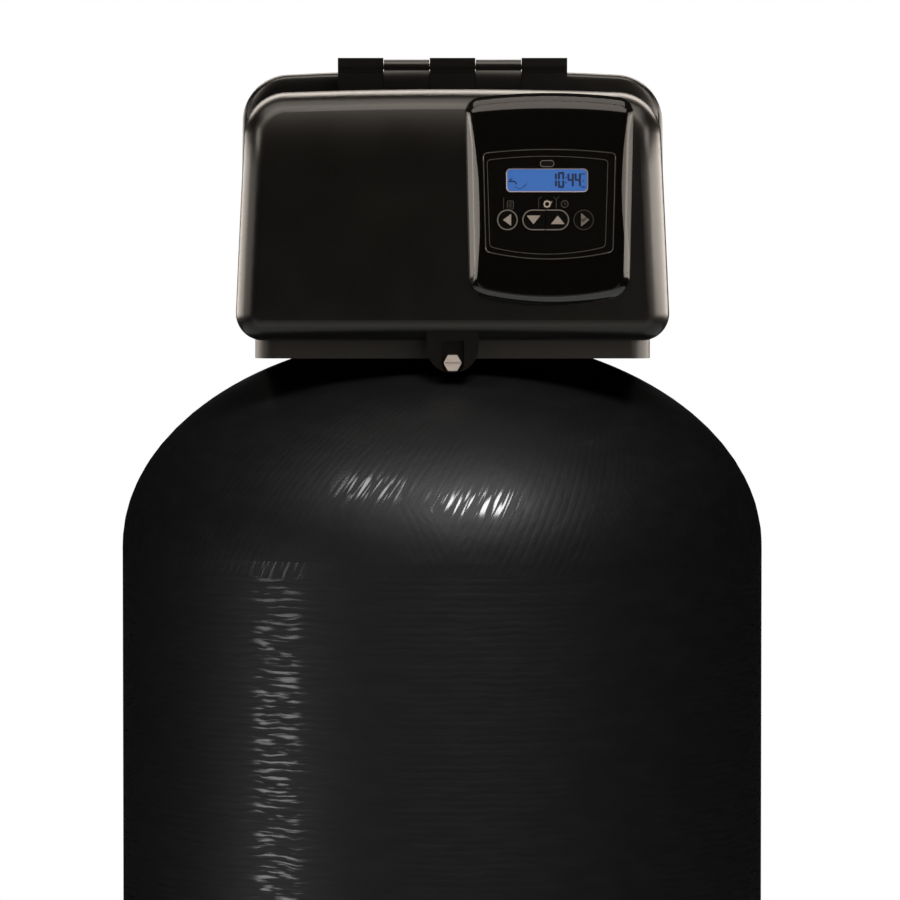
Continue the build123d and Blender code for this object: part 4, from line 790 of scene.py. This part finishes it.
def key_prints():
    line = ink_and_highlight_paint("key_line", KEY_LINE_COLOUR)
    arrow = ink_and_highlight_paint("key_arrow", KEY_ARROW_COLOUR)
    faint = ink_and_highlight_paint("faint_ring", (0.012, 0.012, 0.013))
    low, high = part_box("key_left")
    radius = (high.x - low.x) / 2 / MM - KEY_INSET
    ring = FlatMark(middle_of("key_left"))
    ring.band(circle(0.0, 0.0, radius), KEY_LINE, closed=True)
    ring.finish("key_left_ring", "key_left", line)
    left = FlatMark(middle_of("key_left"))
    left.area(triangle(-2.7, 0.0, 2.3, 0.0, 0.0, 3.7))
    left.finish("key_left_arrow", "key_left", arrow)
    half_capsule("key_down", -1).finish("key_down_line", "key_down", line)
    down = FlatMark(middle_of("key_down"))
    down.area(triangle(0.3, -2.6, 0.3, 2.7, 4.3, 0.0))
    down.finish("key_down_arrow", "key_down", arrow)
    half_capsule("key_up", 1).finish("key_up_line", "key_up", line)
    up = FlatMark(middle_of("key_up"))
    up.area(triangle(-0.4, 2.6, -0.4, -2.6, 4.3, 0.0))
    up.finish("key_up_arrow", "key_up", arrow)
    dim_ring = FlatMark(middle_of("key_right"))
    dim_ring.band(circle(0.0, 0.0, radius), KEY_LINE, closed=True)
    dim_ring.finish("key_right_ring", "key_right", faint)
    right = FlatMark(middle_of("key_right"))
    right.area(triangle(3.6, 0.0, -1.6, 0.0, 0.0, 4.2))
    right.finish("key_right_arrow", "key_right", ink_and_highlight_paint("right_arrow", (0.13, 0.115, 0.10)))
    tick = FlatMark(middle_of("key_right"))
    tick.area([(-1.5, 0.2), (-0.9, 0.8), (-0.2, 0.0), (1.5, 1.9), (2.1, 1.3), (-0.2, -1.3)])
    tick.finish("key_right_tick", "key_right", ink_and_highlight_paint("tick", (0.012, 0.012, 0.012)), 3 * LIFT)


key_prints()

# %% [markdown]
# Above the keys stand three small icons, a list, a cog and a clock, and thin leader lines tie them to keys.

# %% Icons and leader lines


def icon_prints():
    bright = ink_and_highlight_paint("icon_bright", (0.36, 0.32, 0.27))
    dim_print = ink_and_highlight_paint("icon_dim", (0.05, 0.046, 0.042))
    faint = ink_and_highlight_paint("leader_line", (0.035, 0.032, 0.029))
    cog = FlatMark((0.06514, 1.72772))
    cog.band(circle(0.0, 0.0, 1.7, 32), 0.75, closed=True)
    for tooth in range(8):
        angle = FULL_TURN * tooth / 8
        reach = [(share * math.cos(angle), share * math.sin(angle)) for share in (2.0, 2.5)]
        cog.band(reach, 0.6)
    cog.band([(1.9, 0.9), (3.1, 1.4)], 0.6)
    cog.finish("cog_icon", "lid", bright)
    clock = FlatMark((0.07605, 1.72772))
    clock.band(circle(0.0, 0.0, 2.1, 32), 0.45, closed=True)
    clock.band([(0.0, 1.2), (0.0, 0.0), (0.9, -0.5)], 0.4)
    clock.finish("clock_icon", "lid", dim_print)
    rows = FlatMark((0.04233, 1.7271))
    rows.band(softened([(-1.9, -2.5), (1.9, -2.5), (1.9, 2.5), (-1.9, 2.5)], 0.9, 4), 0.4, closed=True)
    for row in (-1.2, 0.0, 1.2):
        rows.band([(-1.0, row), (1.0, row)], 0.4)
    rows.finish("list_icon", "lid", dim_print)
    leaders = FlatMark((0.0, 1.72))
    leaders.band([(38.2, 11.5), (38.2, 4.6)], 0.35)
    leaders.band([(61.9, 12.6), (59.9, 10.9), (59.9, 5.0)], 0.35)
    leaders.band([(72.4, 12.2), (70.8, 10.4), (69.2, 12.2)], 0.35)
    leaders.band([(70.8, 10.4), (70.8, 5.0)], 0.35)
    leaders.finish("leader_lines", "lid", faint)
    light_ring = FlatMark(middle_of("led_light_pipe"))
    low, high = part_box("led_light_pipe")
    half = (high.x - low.x) / 2 / MM
    tall = (high.z - low.z) / 2 / MM
    ring = arc(half - tall, 0.0, tall + 0.35, -90, 90, 16) + arc(tall - half, 0.0, tall + 0.35, 90, 270, 16)
    light_ring.band(ring, 0.4, closed=True)
    light_ring.finish("light_ring", "lid", ink_and_highlight_paint("light_ring", (0.12, 0.11, 0.10)))


icon_prints()

# %% [markdown]
# The screen shows a plain time in seven segment digits. A segment is one shape that repeats, so Geometry
# Nodes make it once, put it on a point for each lit segment and turn it. Its length, its width and the material
# it is printed in are the tree's inputs; whether it stands upright comes with each point.

# %% Seven segment digits
DIGIT_TALL = 8.6
DIGIT_WIDE = 2.7
SEGMENT_WIDTH = 1.6
SEGMENTS = {
    # name: (across, up, upright)
    "a": (0, 1, 0), "b": (1, 0.5, 1), "c": (1, -0.5, 1), "d": (0, -1, 0), "e": (-1, -0.5, 1), "f": (-1, 0.5, 1),
    "g": (0, 0, 0),
}
LIT = {"0": "abcdef", "1": "bc", "4": "bcfg"}
READING = (("1", -7.4), ("0", -2.85), ("4", 3.05), ("4", 7.45))


def segment_tree():
    tree = bpy.data.node_groups.new("seven_segments", "GeometryNodeTree")
    interface = tree.interface
    interface.new_socket("Points", in_out="INPUT", socket_type="NodeSocketGeometry")
    identifiers = {}
    for label in ("Length", "Width"):
        socket = interface.new_socket(label, in_out="INPUT", socket_type="NodeSocketFloat")
        identifiers[label] = socket.identifier
    socket = interface.new_socket("Ink", in_out="INPUT", socket_type="NodeSocketMaterial")
    identifiers["Ink"] = socket.identifier
    interface.new_socket("Segments", in_out="OUTPUT", socket_type="NodeSocketGeometry")

    def node(kind, inputs=None, **settings):
        made = tree.nodes.new(kind)
        for key, value in settings.items():
            setattr(made, key, value)
        for key, value in (inputs or {}).items():
            if isinstance(value, bpy.types.NodeSocket):
                tree.links.new(value, made.inputs[key])
            else:
                made.inputs[key].default_value = value
        return made

    given = node("NodeGroupInput").outputs
    blank = node("GeometryNodeMeshCircle", {"Vertices": 6}, fill_type="NGON").outputs["Mesh"]
    place = node("ShaderNodeSeparateXYZ", {0: node("GeometryNodeInputPosition").outputs[0]}).outputs
    side = node("ShaderNodeMath", {0: place["X"]}, operation="SIGN").outputs[0]
    half_width = node("ShaderNodeMath", {0: given["Width"], 1: 0.5}, operation="MULTIPLY").outputs[0]
    straight = node("ShaderNodeMath", {0: given["Length"], 1: given["Width"]}, operation="SUBTRACT").outputs[0]
    reach = node("ShaderNodeMath", {0: straight, 1: 0.5}, operation="MULTIPLY").outputs[0]
    round_x = node("ShaderNodeMath", {0: place["X"], 1: half_width}, operation="MULTIPLY").outputs[0]
    far_x = node("ShaderNodeMath", {0: side, 1: reach, 2: round_x}, operation="MULTIPLY_ADD").outputs[0]
    far_y = node("ShaderNodeMath", {0: place["Y"], 1: half_width}, operation="MULTIPLY").outputs[0]
    shaped = node("GeometryNodeSetPosition",
                  {"Geometry": blank, "Position": node("ShaderNodeCombineXYZ", {0: far_x, 1: far_y}).outputs[0]})
    upright = node("GeometryNodeInputNamedAttribute", {"Name": "upright"}, data_type="FLOAT").outputs["Attribute"]
    angle = node("ShaderNodeMath", {0: upright, 1: math.pi / 2}, operation="MULTIPLY").outputs[0]
    turned = node("ShaderNodeCombineXYZ", {2: angle}).outputs[0]
    spread = node("GeometryNodeInstanceOnPoints",
                  {"Points": given["Points"], "Instance": shaped.outputs["Geometry"], "Rotation": turned})
    real = node("GeometryNodeRealizeInstances", {"Geometry": spread.outputs["Instances"]})
    inked = node("GeometryNodeSetMaterial", {"Geometry": real.outputs["Geometry"], "Material": given["Ink"]})
    node("NodeGroupOutput", {"Segments": inked.outputs["Geometry"]})
    return tree, identifiers


def reading_print(material):
    """The lit segments as one flat print on the screen."""
    marks = []
    for digit, across in READING:
        for segment in LIT[digit]:
            x, z, upright = SEGMENTS[segment]
            marks.append((across + x * DIGIT_WIDE / 2, z * DIGIT_TALL / 2, upright))
    points = bpy.data.meshes.new("segment_points")
    points.from_pydata([(x, z, 0.0) for x, z, upright in marks], [], [])
    turns = points.attributes.new("upright", "FLOAT", "POINT")
    turns.data.foreach_set("value", [float(upright) for x, z, upright in marks])
    carrier = bpy.data.objects.new("segment_points", points)
    bpy.context.scene.collection.objects.link(carrier)
    tree, identifiers = segment_tree()
    grow = carrier.modifiers.new("segments", "NODES")
    grow.node_group = tree
    grow[identifiers["Length"]] = DIGIT_TALL / 2 - 0.35
    grow[identifiers["Width"]] = SEGMENT_WIDTH
    grow[identifiers["Ink"]] = material
    bpy.context.view_layer.update()
    grown = bpy.data.meshes.new_from_object(carrier.evaluated_get(bpy.context.evaluated_depsgraph_get()))
    digits = FlatMark(SCREEN_TEXT_MIDDLE)
    for face in grown.polygons:
        digits.area([tuple(grown.vertices[corner].co.xy) for corner in face.vertices])
    bpy.data.objects.remove(carrier)
    bpy.data.meshes.remove(grown)
    for up in (-1.6, 1.6):
        digits.area(softened([(-0.2, up - 0.45), (0.65, up - 0.45), (0.65, up + 0.45), (-0.2, up + 0.45)], 0.2, 3))
    digits.finish("screen_digits", "lid", material)


SCREEN_WIDE = 50.8
SCREEN_TALL = 14.7
RIM_WIDTH = 0.6
LCD_X, LCD_Z = middle_of("lcd_module")
SCREEN_TEXT_MIDDLE = (LCD_X + 0.0115, LCD_Z + 0.0002)
NAVY = ink_and_highlight_paint("screen_navy", (0.006, 0.02, 0.075), 0.4)
reading_print(NAVY)


def screen_icons():
    tap = FlatMark((LCD_X - 0.0215, LCD_Z - 0.0010))
    tap.band([(-2.6, 0.3), (1.0, 0.3), (2.0, -0.2), (2.4, -1.6)], 0.9)
    tap.band([(-1.0, 0.3), (-1.0, 1.7)], 0.7)
    tap.band([(-2.0, 1.7), (0.0, 1.7)], 0.5)
    tap.finish("tap_icon", "lid", NAVY)
    stroke = FlatMark((LCD_X - 0.0161, LCD_Z - 0.0034))
    stroke.band([(-3.6, -0.6), (-2.4, -1.4), (-0.9, -1.8), (0.6, -1.4), (1.6, -0.4)], 0.4)
    stroke.area([(1.4, -0.9), (2.3, -0.4), (4.0, 1.9), (1.5, -0.1)])
    stroke.finish("flow_stroke", "lid", NAVY)
    flag = FlatMark((LCD_X + 0.0223, LCD_Z))
    for up, half in ((3.9, 1.3), (-0.4, 0.5), (-4.2, 1.3)):
        flag.band([(-half, up), (half, up)], 0.7)
    flag.finish("screen_flag", "lid", NAVY)
    rim = FlatMark((LCD_X, LCD_Z))
    half = SCREEN_WIDE / 2 - RIM_WIDTH / 2
    tall = SCREEN_TALL / 2 - RIM_WIDTH / 2
    corners = [(-half, -tall), (half, -tall), (half, tall), (-half, tall)]
    rim.band(softened(corners, 3.0), RIM_WIDTH, closed=True)
    rim.finish("screen_rim", "lid", ink_and_highlight_paint("screen_rim", (0.30, 0.25, 0.23), 0.4), 2 * LIFT)


screen_icons()

# %% [markdown]
# The floor's finish is a pale matt paint with a trace of unevenness.

# %% Floor paint
floor_paint = Finish("floor_paint", (0.8, 0.8, 0.79), 0.7)
floor_paint.colour(floor_paint.blend(floor_paint.noise(4.0), (0.78, 0.78, 0.77), (0.82, 0.82, 0.81)))
floor.data.materials.append(floor_paint.material)
